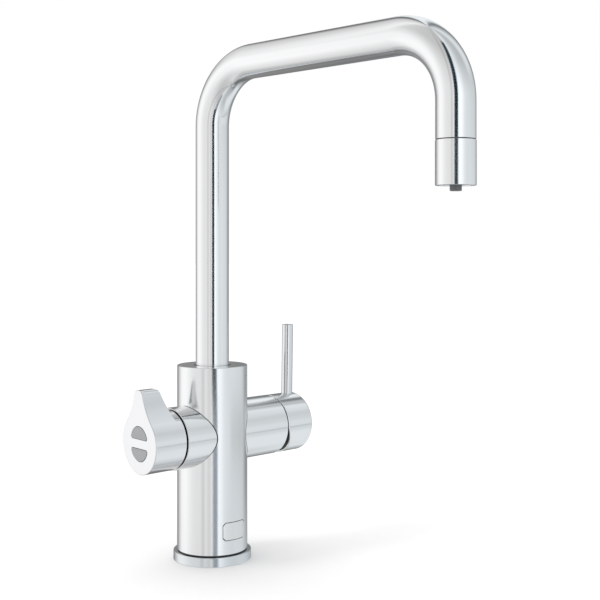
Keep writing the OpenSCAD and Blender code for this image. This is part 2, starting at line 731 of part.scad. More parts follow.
module spigot_o_rings() color("black") for (z = [o_ring_low, o_ring_high])
    ring_z(spigot_r, spigot_r - o_ring_depth + fit, z + fit, z + o_ring_h - fit);

module tube_gland() color("goldenrod") difference() {
    rod_z(gland_r - run, gland_z, chamber_floor);
    ring_z(gland_r + cut, gland_r - o_ring_depth, gland_z + o_ring_h, gland_z + 2 * o_ring_h);
    for (side = [-1, 1]) translate([side * water_tube_x, 0, 0]) rod_z(water_tube_r, 0, chamber_floor + cut);
}

module gland_o_ring() color("black") ring_z(gland_r - run, gland_r - o_ring_depth + fit,
    gland_z + o_ring_h + fit, gland_z + 2 * o_ring_h - fit);

module water_tube(side) color("linen") translate([side * water_tube_x, 0, 0]) difference() {
    spout_path(water_tube_r, water_tube_bore / 2, water_tube_foot, water_tube_end);
    ring_z(water_tube_r + cut, tail_d / 2, water_tube_foot - cut, water_tube_foot + tail_len);
}
module boiling_tube() water_tube(-1);
module chilled_tube() water_tube(1);

module at_outlet() translate([0, outlet_y, 0]) children();

module tube_sockets(r, z1, z2) for (side = [-1, 1]) translate([side * water_tube_x, 0, 0])
    rod_z(r, z1, z2);

module outlet_manifold() color("goldenrod") at_outlet() difference() {
    rod_z(manifold_r, manifold_z, manifold_top);
    rod_z(manifold_r - manifold_wall, manifold_z + manifold_floor, manifold_top + cut);
    tube_sockets(water_tube_r, water_tube_end, manifold_top);
    rod_z(nozzle_r, 0, manifold_z + manifold_floor - tube_socket - manifold_wall / 2);
    tube_sockets(link_d / 2, manifold_z, manifold_top);
    for (k = [0:flow_holes - 1]) rotate([0, 0, 360 * k / flow_holes])
        translate([manifold_r - manifold_wall - flow_hole_d, 0, 0])
            rod_z(flow_hole_d / 2, manifold_z - cut, manifold_z + manifold_floor + cut);
}

module tube_collets() color("dimgray") at_outlet() for (side = [-1, 1])
    translate([side * water_tube_x, 0, manifold_z + manifold_floor])
        ring_z(water_tube_r + collet_wall, water_tube_r, 0, collet_h);

module outlet_sleeve() color("silver") at_outlet() difference() {
    turned_z(sleeve_r, sleeve_z, sleeve_top, rim_r, rim_r);
    rod_z(sleeve_bore_r - sleeve_lip_w, sleeve_z - cut, sleeve_top + cut);
    rod_z(sleeve_bore_r, sleeve_z + sleeve_lip_h, sleeve_top + cut);
}

module sleeve_seal() color("black") at_outlet()
    ring_z(tube_r - tube_wall / 3, manifold_r + fit, sleeve_top, tube_end_z);

module flow_ring() color("gray") at_outlet() difference() {
    ring_z(sleeve_bore_r - fit, nozzle_r + fit, flow_ring_z, flow_ring_z + flow_ring_h);
    for (row = [1, 2], k = [0:flow_holes * row / 2 + flow_holes / 2 - 1])
        rotate([0, 0, 360 * k / (flow_holes * row / 2 + flow_holes / 2)])
            translate([nozzle_r + row * (sleeve_bore_r - nozzle_r) / 3, 0, 0])
                rod_z(flow_hole_d / 2, flow_ring_z - cut, flow_ring_z + flow_ring_h + cut);
}

module boiling_nozzle() color("dimgray") at_outlet()
    ring_z(nozzle_r, nozzle_bore / 2, sleeve_z - nozzle_drop, manifold_z + manifold_floor / 3);

// Collar
module saddle_gasket_ring() color("black") difference() {
    intersection() {
        ring_z(column_r + saddle_gasket, column_r, side_z - side_r, side_z + side_r);
        rod_x(side_r - saddle_inset, -big, 0);
    }
    rod_x(nipple_r + fit, -big, 0);
    sensor_way(sensor_cable_d / 2 + 2 * fit, 0);
}

module lever_collar() color("silver") difference() {
    turned_x(side_r, -collar_x, 0, edge_r, 0);
    rod_z(column_r + saddle_gasket, 0, column_top);
    rod_x(collar_recess_d / 2, -collar_x - cut, -recess_floor_x);
    rod_x(nipple_r + fit, -collar_x - cut, 0);
    sensor_way(sensor_cable_d / 2 + 2 * fit, 0);
}

module collar_stud() color("goldenrod") difference() {
    union() {
        rod_x(nipple_r, -bush_x, -nipple_end_x);
        rod_x(nipple_flange_d / 2, -bush_x, -recess_floor_x);
    }
    rod_x(nipple_bore / 2, -bush_x - cut, 0);
}

module lever_bush() color("white") difference() {
    union() {
        rod_x(nipple_bore / 2 - fit, -bush_x, -nipple_end_x);
        rod_x(bush_flange_d / 2, -bush_x - bush_flange_h, -bush_x);
    }
    rod_x(shaft_r + run, -collar_x, 0);
}

// A coil spring swept as one closed tube: a ring of points at each step along its turns
function spring_point(step, side) = let (turn = 360 * step / spring_steps,
    phase = 360 * side / spring_sides, r = spring_d / 2 + spring_wire_d / 2 * cos(phase))
    [spring_pitch * step / spring_steps + spring_wire_d / 2 * sin(phase), r * cos(turn), r * sin(turn)];
module return_spring() {
    last = spring_turns * spring_steps;
    points = [for (step = [0:last], side = [0:spring_sides - 1]) spring_point(step, side)];
    walls = [for (step = [0:last - 1], side = [0:spring_sides - 1], half = [0, 1])
        let (a = step * spring_sides + side, b = step * spring_sides + (side + 1) % spring_sides)
            half == 0 ? [a, a + spring_sides, b] : [b, a + spring_sides, b + spring_sides]];
    first_end = [for (side = [1:spring_sides - 2]) [0, side, side + 1]];
    last_end = [for (side = [1:spring_sides - 2])
        [last * spring_sides, last * spring_sides + side + 1, last * spring_sides + side]];
    spring_x = spring_wire_d / 2 + fit - recess_floor_x - (spring_turns + 1) * spring_pitch;
    color("gray") translate([spring_x, 0, side_z])
        polyhedron(points = points, faces = concat(walls, first_end, last_end));
}

module sensor_board() color("darkgreen")
    ring_x(collar_recess_d / 2 - fit, bush_flange_d / 2 + fit, -sensor_board_x - board_h, -sensor_board_x);

// The cable's way: from the board through the collar's floor into the core, then straight down to z1
module sensor_way(r, z1) {
    translate([-sensor_board_x, sensor_cable_y, sensor_cable_z]) rotate([0, 90, 0])
        cylinder(r = r, h = sensor_board_x - sensor_cable_x);
    translate([-sensor_cable_x, sensor_cable_y, 0]) {
        rod_z(r, z1, sensor_cable_z);
        translate([0, 0, sensor_cable_z]) sphere(r = r);
    }
}
module sensor_cable() color("black") sensor_way(sensor_cable_d / 2, water_tube_foot);

module collar_cover() color("black")
    ring_x(collar_recess_d / 2 - fit, shaft_r + 4 * run, -collar_x, -cover_x);

// Lever
module lever_2d() {
    circle(r = lever_r);
    difference() {
        polygon([[-flank_foot_y, flank_foot_z], [flank_foot_y, flank_foot_z], [flank_end_y, flank_end_z],
            [-flank_end_y, flank_end_z]]);
        for (side = [-1, 1]) translate([side * flank_y, flank_z]) circle(r = lever_flank_r);
    }
    hull() for (side = [-1, 1]) translate([side * tip_corner_y, tip_corner_z]) circle(r = lever_tip_r);
}

// The fin's side view, from its back line and round top corner forwards
module fin_side_2d() {
    polygon([[-big, -big], [(fin_line + big * sin(fin_angle)) / cos(fin_angle), -big],
        [fin_corner_x + fin_corner_r * cos(fin_angle), fin_corner_z + fin_corner_r * sin(fin_angle)],
        [fin_corner_x, fin_corner_z], [fin_corner_x, lever_tip_z], [-big, lever_tip_z]]);
    translate([fin_corner_x, fin_corner_z]) circle(r = fin_corner_r);
}

module boiling_lever() color("silver") difference() {
    intersection() {
        union() {
            lever_frame() rotate([0, 90, 0]) translate([0, 0, -big]) rotate_extrude()
                turned_2d(lever_r, big - lever_rear_x, 0, edge_r);
            intersection() {
                lever_frame() translate([-big, 0, 0]) rotate([90, 0, 90])
                    linear_extrude(big - lever_rear_x - 2 * edge_r) lever_2d();
                lever_frame() translate([0, big, 0]) rotate([90, 0, 0]) linear_extrude(2 * big) fin_side_2d();
            }
        }
        face_frame() translate([-big, -big, -big]) cube([2 * big, 2 * big, big]);
    }
    intersection() {
        lever_frame() rotate([0, -90, 0]) cylinder(r = hollow_r, h = big);
        face_frame() translate([-big, -big, -big - lever_face_wall]) cube([2 * big, 2 * big, big]);
    }
    button_window(0);
    button_window(180);
    lever_grub_hole(lever_grub_d + 2 * fit);
}

module lever_grub_hole(d) lever_frame() translate([-(hub_front_x + boss_end_x) / 2, 0, 0])
    rotate([180, 0, 0]) cylinder(d = d, h = big);

module lever_hub() color("gray") difference() {
    intersection() {
        union() {
            lever_frame() translate([-hub_front_x, 0, 0]) rotate([0, 90, 0])
                cylinder(r = hollow_r - fit, h = hub_plate_h);
            lever_frame() translate([-lever_face_x, 0, 0]) rotate([0, 90, 0])
                cylinder(d = hub_boss_d, h = lever_face_x - lever_rear_x);
        }
        face_frame() translate([-big, -big, -big - boss_end_depth]) cube([2 * big, 2 * big, big]);
    }
    rod_x(shaft_r, -boss_end_x, 0);
    lever_grub_hole(lever_grub_d);
    lever_frame() translate([-lever_rear_x - magnet_h - fit, 0, -magnet_r]) rotate([0, 90, 0])
        cylinder(d = magnet_d + 2 * fit, h = big);
}

module lever_shaft() color("gray") rod_x(shaft_r, -boss_end_x, -shaft_end_x);

module shaft_clip() color("dimgray") translate([shaft_clip_h - nipple_end_x, 0, 0])
    ring_x(shaft_clip_d / 2, shaft_r, -shaft_clip_h / 2, shaft_clip_h / 2);

module sensor_magnet() color("dimgray") lever_frame() translate([-lever_rear_x - magnet_h, 0, -magnet_r])
    rotate([0, 90, 0]) cylinder(d = magnet_d, h = magnet_h);

module lever_grub_screw() color("dimgray") lever_frame()
    translate([-(hub_front_x + boss_end_x) / 2, 0, 0]) rotate([180, 0, 0]) translate([0, 0, shaft_r])
        difference() {
            cylinder(d = lever_grub_d - fit, h = hub_boss_d / 2 - shaft_r + lever_grub_d);
            translate([0, 0, hub_boss_d / 2 - shaft_r]) cylinder(d = lever_grub_d / 2, h = big, $fn = 6);
        }

module button_board() color("darkgreen") face_disc(button_board_r, button_board_depth, board_h);

module at_switches() for (turn = [0, 180]) face_frame() rotate([0, 0, turn])
    translate([0, (button_split + button_h) / 2, 0]) children();

module button_switches() color("black") at_switches() translate([0, 0, -button_board_depth])
    cylinder(d = switch_d, h = switch_h);

module button_membrane() color("gainsboro") difference() {
    face_disc(membrane_r, membrane_depth, membrane_h);
    face_disc(button_split / 4, membrane_depth - cut, membrane_h + 2 * cut);
}

module upper_button() button(0);
module lower_button() button(180);

// Mixer
module mixer_sleeve() color("silver") difference() {
    turned_x(side_r, 0, mixer_sleeve_x, 0, edge_r);
    rod_x(housing_r + fit, -cut, mixer_sleeve_x + cut);
    rod_z(column_r + fit, 0, column_top);
}

module cartridge_housing() color("goldenrod") difference() {
    union() {
        rod_x(housing_r, housing_x, nut_end_x);
        rod_x(housing_spigot_d / 2, nipple_end_x + fit, housing_x + cut);
    }
    rod_x(cartridge_r + fit, cartridge_x, big);
    rod_x(nut_r, nut_x, big);
    translate([0, 0, side_z]) at_ports() rotate([0, 90, 0]) cylinder(d = cartridge_port_d, h = big);
}

module cartridge_body() color("white") difference() {
    rod_x(cartridge_r, cartridge_x + fit, nut_x);
    rod_x(cartridge_bore_r, cartridge_x + cartridge_floor, big);
    translate([0, 0, side_z]) at_ports() {
        rotate([0, 90, 0]) cylinder(d = cartridge_port_d, h = big);
        translate([cartridge_x, 0, 0]) rotate([0, 90, 0])
            cylinder(r = cartridge_port_d / 2 + channel_seal_w + fit, h = channel_seal_h + fit);
    }
}

module cartridge_seals() color("black") translate([cartridge_x + fit, 0, side_z]) at_ports()
    rotate([0, 90, 0]) difference() {
        cylinder(r = cartridge_port_d / 2 + channel_seal_w, h = channel_seal_h);
        translate([0, 0, -cut]) cylinder(d = cartridge_port_d, h = channel_seal_h + 2 * cut);
    }

module fixed_disc() color("ivory") difference() {
    rod_x(fixed_disc_d / 2, fixed_disc_x, fixed_disc_x + disc_h);
    translate([0, 0, side_z]) at_ports() rotate([0, 90, 0]) cylinder(d = cartridge_port_d, h = big);
}

module moving_disc() color("ivory") difference() {
    rod_x(moving_disc_d / 2, moving_disc_x, moving_disc_end);
    rod_x(moving_disc_d / 3, moving_disc_x - cut, moving_disc_x + disc_h / 3);
    translate([moving_disc_end - stem_tip_depth - 2 * fit, -stem_tip_r - 2 * fit,
        side_z - stem_tip_r - 4 * fit]) cube([disc_h, stem_tip_d + 4 * fit, stem_tip_d + 8 * fit]);
}

module cartridge_nut() color("goldenrod") difference() {
    rod_x(nut_r - fit, nut_x + fit, nut_end_x);
    rod_x(nut_bore / 2, nut_x - cut, big);
}

module nut_cover() color("black")
    ring_x(housing_r, nut_bore / 2, nut_end_x, nut_end_x + nut_cover_h);

// The slot that lets the stem tilt
module stem_slot() translate([0, -stem_w / 2 - head_gap / 4, side_z - slot_low])
    cube([big, stem_w + head_gap / 2, slot_low + slot_high]);

module cartridge_carrier() color("white") difference() {
    union() {
        rod_x(carrier_r, carrier_x, nut_x - run);
        rod_x(carrier_neck_r, carrier_x, dome_foot_x);
    }
    rod_x(carrier_throat_r, carrier_x - cut, tilt_x);
    translate([tilt_x - stem_corner_r - cut, 0, 0]) stem_slot();
    translate([tilt_x, -big, side_z]) rotate([-90, 0, 0]) cylinder(d = stem_pin_d, h = 2 * big);
}

module cartridge_dome() color("black") difference() {
    translate([tilt_x, 0, side_z]) rotate([0, 90, 0]) rotate_extrude() difference() {
        dome_2d(dome_r, dome_foot_x - tilt_x);
        dome_2d(dome_r - nut_cover_h, dome_foot_x - tilt_x + nut_cover_h);
    }
    translate([tilt_x, 0, 0]) stem_slot();
}
module dome_2d(r, foot) intersection() {
    circle(r = r);
    translate([0, foot]) square(big);
}

module stem_pin() color("gray") translate([tilt_x, run - carrier_neck_r, side_z]) rotate([-90, 0, 0])
    cylinder(d = stem_pin_d, h = 2 * (carrier_neck_r - run));

module cartridge_stem() color("goldenrod") difference() {
    union() {
        translate([tilt_x - stem_w / 2, -stem_w / 2, side_z - stem_w / 2])
            cube([stem_x - tilt_x + stem_w / 2, stem_w, stem_w]);
        rod_x(stem_tip_r, moving_disc_end - stem_tip_depth + stem_tip_r, tilt_x);
        translate([moving_disc_end - stem_tip_depth + stem_tip_r, 0, side_z]) sphere(r = stem_tip_r);
    }
    translate([tilt_x, -big, side_z]) rotate([-90, 0, 0]) cylinder(r = stem_pin_d / 2 + run, h = 2 * big);
}

// Head, with a hollow that clears the dome at every tilt, and the wedge cut
module wedge_cut(inset) translate([head_foot_x + inset, 0, side_z - wedge_start])
    rotate([0, -wedge_angle, 0]) translate([-big, -big, -big]) cube([big, 2 * big, big]);

module mixer_head() color("silver") difference() {
    turned_x(side_r, head_foot_x, head_x, edge_r, head_edge_r);
    translate([tilt_x, 0, side_z]) sphere(r = head_hollow_r);
    wedge_cut(0);
    rod_x(liner_r + fit, head_foot_x - cut, liner_end_x + fit);
    translate([tilt_x, -stem_w / 2 - fit, side_z - stem_w / 2 - fit])
        cube([stem_x - tilt_x + fit, stem_w + 2 * fit, stem_w + 2 * fit]);
    translate([head_grub_x, 0, side_z]) rotate([180, 0, 0]) cylinder(d = head_grub_d, h = big);
    pin_rod(pin_r + fit, side_r - pin_depth - fit, big);
}

module head_liner() color("black") difference() {
    rod_x(liner_r, head_foot_x + liner_inset, liner_end_x);
    translate([tilt_x, 0, side_z]) sphere(r = head_hollow_r);
    wedge_cut(liner_inset);
}

// The pin lever's rod, leaning outwards from its place on the head's surface
module pin_rod(r, z1, z2) translate([pin_x, 0, side_z + side_r]) rotate([0, pin_lean, 0])
    translate([0, 0, z1 - side_r]) cylinder(r = r, h = z2 - z1);

module pin_lever() color("silver") translate([pin_x, 0, side_z + side_r]) rotate([0, pin_lean, 0])
    translate([0, 0, -pin_depth]) rotate_extrude()
        turned_2d(pin_r, pin_top - side_z - side_r + pin_depth, 0, edge_r);

module head_grub_screw() color("dimgray") translate([head_grub_x, 0, side_z]) rotate([180, 0, 0])
    translate([0, 0, stem_w / 2]) difference() {
        cylinder(d = head_grub_d - fit, h = side_r - stem_w / 2 - 2 * grub_plug_h - head_grub_d / 2);
        translate([0, 0, side_r - stem_w / 2 - 2 * grub_plug_h - head_grub_d])
            cylinder(d = head_grub_d / 2, h = big, $fn = 6);
    }

module grub_plug() color("gray") intersection() {
    rod_x(side_r, head_foot_x, head_x);
    translate([head_grub_x, 0, side_z]) rotate([180, 0, 0])
        translate([0, 0, side_r - 2 * grub_plug_h - head_grub_d / 2])
            cylinder(d = head_grub_d - fit, h = big);
}

base_flange();
bench_gasket();
seam_ring();
column_shell();
badge_plate();
base_block();
block_screws();
channel_seals();
valve_core();
glide_ring();
stop_screw();
spout_tube();
spout_spigot();
spigot_o_rings();
tube_gland();
gland_o_ring();
boiling_tube();
chilled_tube();
outlet_manifold();
tube_collets();
outlet_sleeve();
sleeve_seal();
flow_ring();
boiling_nozzle();
saddle_gasket_ring();
lever_collar();
collar_stud();
lever_bush();
return_spring();
sensor_board();
sensor_cable();
collar_cover();
boiling_lever();
lever_hub();
lever_shaft();
shaft_clip();
sensor_magnet();
lever_grub_screw();
button_board();
button_switches();
button_membrane();
upper_button();
lower_button();
mixer_sleeve();
cartridge_housing();
cartridge_body();
cartridge_seals();
fixed_disc();
moving_disc();
cartridge_nut();
nut_cover();
cartridge_carrier();
cartridge_dome();
stem_pin();
cartridge_stem();
mixer_head();
head_liner();
pin_lever();
head_grub_screw();
grub_plug();
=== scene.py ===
"""Studio picture of a boiling water tap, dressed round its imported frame.

The frame gives the bodies and their plain solids. This file adds the fine surfaces that show, the
finishes, the camera, the pale floor and the light. Sizes are in millimetres and are turned into metres
when a surface becomes a mesh. +Z is up, the spout points to -Y, the boiling lever to -X, the mixer to +X.
"""

import json
import logging
import math
from dataclasses import dataclass
from enum import Enum

import bpy
import bmesh
import numpy as np
from mathutils.geometry import delaunay_2d_cdt
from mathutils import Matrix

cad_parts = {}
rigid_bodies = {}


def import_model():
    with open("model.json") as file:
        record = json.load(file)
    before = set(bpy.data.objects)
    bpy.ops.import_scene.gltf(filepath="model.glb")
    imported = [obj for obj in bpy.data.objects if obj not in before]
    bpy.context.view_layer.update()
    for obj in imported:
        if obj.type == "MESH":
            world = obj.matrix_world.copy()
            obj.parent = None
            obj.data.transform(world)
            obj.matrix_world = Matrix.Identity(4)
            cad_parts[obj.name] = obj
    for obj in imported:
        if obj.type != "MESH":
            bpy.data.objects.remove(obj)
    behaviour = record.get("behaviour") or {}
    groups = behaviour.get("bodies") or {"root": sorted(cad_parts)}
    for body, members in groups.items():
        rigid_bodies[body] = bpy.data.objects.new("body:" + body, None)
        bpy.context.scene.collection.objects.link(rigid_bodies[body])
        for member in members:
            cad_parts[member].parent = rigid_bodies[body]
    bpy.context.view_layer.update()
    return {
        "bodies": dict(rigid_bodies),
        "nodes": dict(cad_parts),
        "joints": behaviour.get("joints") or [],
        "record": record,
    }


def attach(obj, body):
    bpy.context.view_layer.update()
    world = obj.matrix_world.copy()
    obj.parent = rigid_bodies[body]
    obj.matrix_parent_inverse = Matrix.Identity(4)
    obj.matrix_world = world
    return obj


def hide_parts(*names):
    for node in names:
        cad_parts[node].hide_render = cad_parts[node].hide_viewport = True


LOG = logging.getLogger("tap")
Measure = float | np.ndarray
MM = 0.001
STEEL_SLOT = "brushed_steel"
REACH = 228.0
SIDE_HEIGHT = 93.6
NOISE_LOW = 0.3
NOISE_HIGH = 0.7
LINE_DETAIL = 3.0
MIX_DARK = 6
MIX_LIGHT = 7
MIX_RESULT = 2
STEEL_TONE = (0.86, 0.865, 0.87)
GATE = (0.0, 1.0, 1.0, 0.0)
COLUMNS = 240
WELD = 1.0e-6
SHARP = math.radians(34.0)
SAME_POINT = 1.0e-5
SAME_RUN = 1.0e-7
SAME_CORNER = 1.0e-6
SAME_LEVEL = 1.0e-12
SADDLE_ROWS = 9
HAIR = 0.2
QUARTER = np.linspace(0.0, math.pi / 2.0, 7)
ROUND = np.linspace(0.0, 2.0 * math.pi, COLUMNS + 1)


class Grain(Enum):
    """Which way the fine lines of a metal run: a small share draws them out along that axis."""

    ROUND_UPRIGHT = (0.02, 0.02, 1.0)
    ROUND_SIDEWAYS = (1.0, 0.02, 0.02)
    ALONG_PIECE = (0.015, 1.0, 1.0)
    EVEN = (1.0, 1.0, 1.0)


class Body(Enum):
    """The bodies of the frame that a dressed piece rides on."""

    TAP = "tap_body"
    SPOUT = "spout"
    LEVER = "lever"
    UPPER_BUTTON = "upper_press"
    LOWER_BUTTON = "lower_press"
    HEAD = "tilting_head"


# Finishes


class ShaderTree:
    """A material's node tree with short calls for the few nodes that the finishes use."""

    def __init__(self, name: str) -> None:
        """Starts a material with an empty tree.

        Args:
            name: the material's name.
        """
        self.material = bpy.data.materials.new(name)
        self.material.use_nodes = True
        self.nodes = self.material.node_tree.nodes
        self.links = self.material.node_tree.links
        self.nodes.clear()
        self.output = self.nodes.new("ShaderNodeOutputMaterial")

    def add(self, kind: str, settings: dict | None = None, **inputs) -> bpy.types.Node:
        """Adds a node, sets its options and fills its inputs.

        Args:
            kind: the node's type.
            settings: options of the node itself.
            inputs: a value or another node's socket for each input, by its name with _ for a space.

        Returns:
            The new node.
        """
        node = self.nodes.new(kind)
        for option, value in (settings or {}).items():
            setattr(node, option, value)
        for label, value in inputs.items():
            socket = node.inputs[label.replace("_", " ")]
            if isinstance(value, bpy.types.NodeSocket):
                self.links.new(value, socket)
            else:
                socket.default_value = value
        return node

    def noise(self, grain: Grain, scale: float, detail: float = 2.0) -> bpy.types.NodeSocket:
        """A noise value by the place in the tap, or by the piece's own map where the grain follows it.

        Args:
            grain: how the pattern is stretched.
            scale: how fine it is.
            detail: how many finer steps it has.

        Returns:
            The socket that gives the value.
        """
        if grain is Grain.ALONG_PIECE:
            place = self.add("ShaderNodeAttribute", {"attribute_name": "flow"}).outputs["Vector"]
        else:
            place = self.add("ShaderNodeTexCoord").outputs["Object"]
        place = self.add("ShaderNodeMapping", Vector=place, Scale=grain.value).outputs["Vector"]
        return self.add("ShaderNodeTexNoise", Vector=place, Scale=scale, Detail=detail).outputs["Fac"]

    def tones(self, value: bpy.types.NodeSocket, light: tuple, share: float) -> bpy.types.NodeSocket:
        """Mixes a colour with one that is darker by a share, by a value."""
        node = self.add("ShaderNodeMix", {"data_type": "RGBA"})
        self.links.new(value, node.inputs["Factor"])
        node.inputs[MIX_DARK].default_value = (*(part * (1.0 - share) for part in light), 1.0)
        node.inputs[MIX_LIGHT].default_value = (*light, 1.0)
        return node.outputs[MIX_RESULT]

    def surface(self, shader: bpy.types.Node) -> bpy.types.Material:
        """Joins a shader to the output and returns the material."""
        self.links.new(shader.outputs[0], self.output.inputs["Surface"])
        return self.material


@dataclass(frozen=True)
class Finish:
    """A surface with a tone that varies a little and a fine grain; as it stands, a moulded or coated one."""

    colour: tuple[float, float, float]
    roughness: float
    grain: Grain = Grain.EVEN
    line_scale: float = 900.0
    line_depth: float = 2.0e-5
    line_strength: float = 0.2
    roughness_share: float = 0.12
    tone_share: float = 0.12
    tone_scale: float = 60.0
    metallic: float = 0.0
    coat: float = 0.0

    def material(self, name: str) -> bpy.types.Material:
        """Builds the node tree: tone from a broad noise, roughness and bump from the fine grain."""
        tree = ShaderTree(name)
        lines = tree.noise(self.grain, self.line_scale, LINE_DETAIL)
        clouds = tree.noise(Grain.EVEN, self.tone_scale)
        spread = self.roughness * self.roughness_share
        rough = tree.add("ShaderNodeMapRange", {"clamp": True}, Value=lines, From_Min=NOISE_LOW,
                         From_Max=NOISE_HIGH, To_Min=self.roughness - spread, To_Max=self.roughness + spread)
        bump = tree.add("ShaderNodeBump", Height=lines, Distance=self.line_depth, Strength=self.line_strength)
        return tree.surface(tree.add(
            "ShaderNodeBsdfPrincipled",
            Base_Color=tree.tones(clouds, self.colour, self.tone_share),
            Metallic=self.metallic,
            Roughness=rough.outputs["Result"],
            Normal=bump.outputs["Normal"],
            Coat_Weight=self.coat,
        ))


@dataclass(frozen=True)
class Metal(Finish):
    """A machined or brushed metal, its grain much finer and flatter."""

    line_scale: float = 4200.0
    line_depth: float = 2.0e-6
    line_strength: float = 0.04
    tone_share: float = 0.02
    tone_scale: float = 38.0
    metallic: float = 1.0


class Look(Enum):
    """Every finish of the tap, named by the record's slot or by the piece that shows it."""

    TUBE_STEEL = Metal(STEEL_TONE, 0.12, Grain.ALONG_PIECE)
    COLUMN_STEEL = Metal(STEEL_TONE, 0.16, Grain.ROUND_UPRIGHT)
    # the column's steel made darker and bluer for the flange: painted shade at the tap's foot
    FLANGE_STEEL = Metal((0.76, 0.785, 0.8), 0.18, Grain.ROUND_UPRIGHT)
    BARREL_STEEL = Metal(STEEL_TONE, 0.13, Grain.ROUND_SIDEWAYS)
    LEVER_STEEL = Metal((0.845, 0.85, 0.86), 0.14, Grain.ROUND_SIDEWAYS)
    BADGE_STEEL = Metal((0.88, 0.87, 0.865), 0.26, Grain.ROUND_UPRIGHT)
    PIN_STEEL = Metal((0.77, 0.78, 0.79), 0.13, Grain.ROUND_UPRIGHT)
    GREY_CAP = Metal((0.5, 0.51, 0.52), 0.36, tone_share=0.06)
    PLAIN_STEEL = Metal((0.55, 0.56, 0.58), 0.34, tone_share=0.1)
    BRASS = Metal((0.78, 0.57, 0.28), 0.3, Grain.ROUND_UPRIGHT, tone_share=0.12)
    BLACK_RUBBER = Finish((0.022, 0.022, 0.024), 0.62)
    BLACK_PLASTIC = Finish((0.028, 0.028, 0.031), 0.38, line_depth=8.0e-6)
    WHITE_PLASTIC = Finish((0.82, 0.82, 0.79), 0.42, tone_share=0.04)
    GREY_PLASTIC = Finish((0.12, 0.13, 0.14), 0.4, tone_share=0.08)
    NOZZLE_GREY = Finish((0.13, 0.135, 0.14), 0.36, tone_share=0.08)
    BUTTON_GREY = Finish((0.32, 0.325, 0.33), 0.4, tone_share=0.05)
    CERAMIC = Finish((0.83, 0.8, 0.74), 0.2, line_depth=2.0e-6, tone_share=0.03, coat=0.4)
    CIRCUIT_BOARD = Finish((0.02, 0.16, 0.07), 0.35, tone_share=0.35, tone_scale=420.0)


class Wardrobe:
    """Hands out each finish's material, made once."""

    def __init__(self) -> None:
        """Starts with nothing made."""
        self.made: dict[Look, bpy.types.Material] = {}

    def dress(self, obj: bpy.types.Object, look: Look) -> None:
        """Gives an object a finish in each of its material slots.

        Args:
            obj: the object.
            look: the finish.
        """
        if look not in self.made:
            self.made[look] = look.value.material(look.name.lower())
        if not obj.material_slots:
            obj.data.materials.append(self.made[look])
        for slot in obj.material_slots:
            slot.material = self.made[look]

    def dress_frame(self, frame: dict) -> None:
        """Dresses every node of the frame by the slot that the record gives it.
        """
        for part in frame["record"]["subparts"]:
            slot = part["material_slot"]
            look = Look.COLUMN_STEEL if slot == STEEL_SLOT else Look[slot.upper()]
            self.dress(frame["nodes"][part["node"]], look)
        LOG.info("dressed %d nodes of the frame", len(frame["nodes"]))


# Studio


def grid_faces(rows: int, columns: int) -> np.ndarray:
    """Four-sided faces of a grid of points.

    Args:
        rows: number of rows of points.
        columns: number of points in a row.

    Returns:
        Point numbers of each face, one face per row.
    """
    first = (np.arange(rows - 1)[:, None] * columns + np.arange(columns - 1)[None, :]).ravel()
    return np.column_stack([first, first + 1, first + columns + 1, first + columns])


def hidden_glow(name: str, points: np.ndarray, colours: np.ndarray) -> None:
    """Makes a glowing surface of the stage that only gloss sees.

    Args:
        name: the surface's name.
        points: a grid of points.
        colours: the glow at each of them.
    """
    mesh = bpy.data.meshes.new(name)
    mesh.from_pydata(points.reshape(-1, 3) * MM, [], grid_faces(*points.shape[:2]).tolist())
    flat = colours.reshape(-1, 3)
    glow = mesh.color_attributes.new("glow", "FLOAT_COLOR", "POINT")
    glow.data.foreach_set("color", np.column_stack([flat, np.ones(len(flat))]).ravel())
    tree = ShaderTree(name)
    tone = tree.add("ShaderNodeAttribute", {"attribute_name": "glow"}).outputs["Color"]
    mesh.materials.append(tree.surface(tree.add("ShaderNodeEmission", Color=tone, Strength=1.0)))
    tree.material.cycles.emission_sampling = "NONE"
    sheet = bpy.data.objects.new(name, mesh)
    bpy.context.scene.collection.objects.link(sheet)
    sheet.visible_camera = False
    sheet.visible_diffuse = False
    sheet.visible_transmission = False
    sheet.visible_shadow = False


@dataclass(frozen=True)
class Lens:
    """The camera, placed and aimed as the photograph's own view asks."""

    place: tuple[float, float, float] = (-548.2, -641.8, 236.5)
    turn: float = -45.0
    focal: float = 66.9
    sensor: float = 36.0
    shift: float = -0.0945

    def build(self) -> None:
        """Makes the camera, level and turned to the tap, with its view shifted down by part of the width."""
        data = bpy.data.cameras.new("camera")
        data.lens = self.focal
        data.sensor_width = self.sensor
        data.shift_y = self.shift
        data.clip_start = MM
        camera = bpy.data.objects.new("camera", data)
        camera.location = [part * MM for part in self.place]
        camera.rotation_euler = (math.radians(90.0), 0.0, math.radians(self.turn))
        bpy.context.scene.collection.objects.link(camera)
        bpy.context.scene.camera = camera


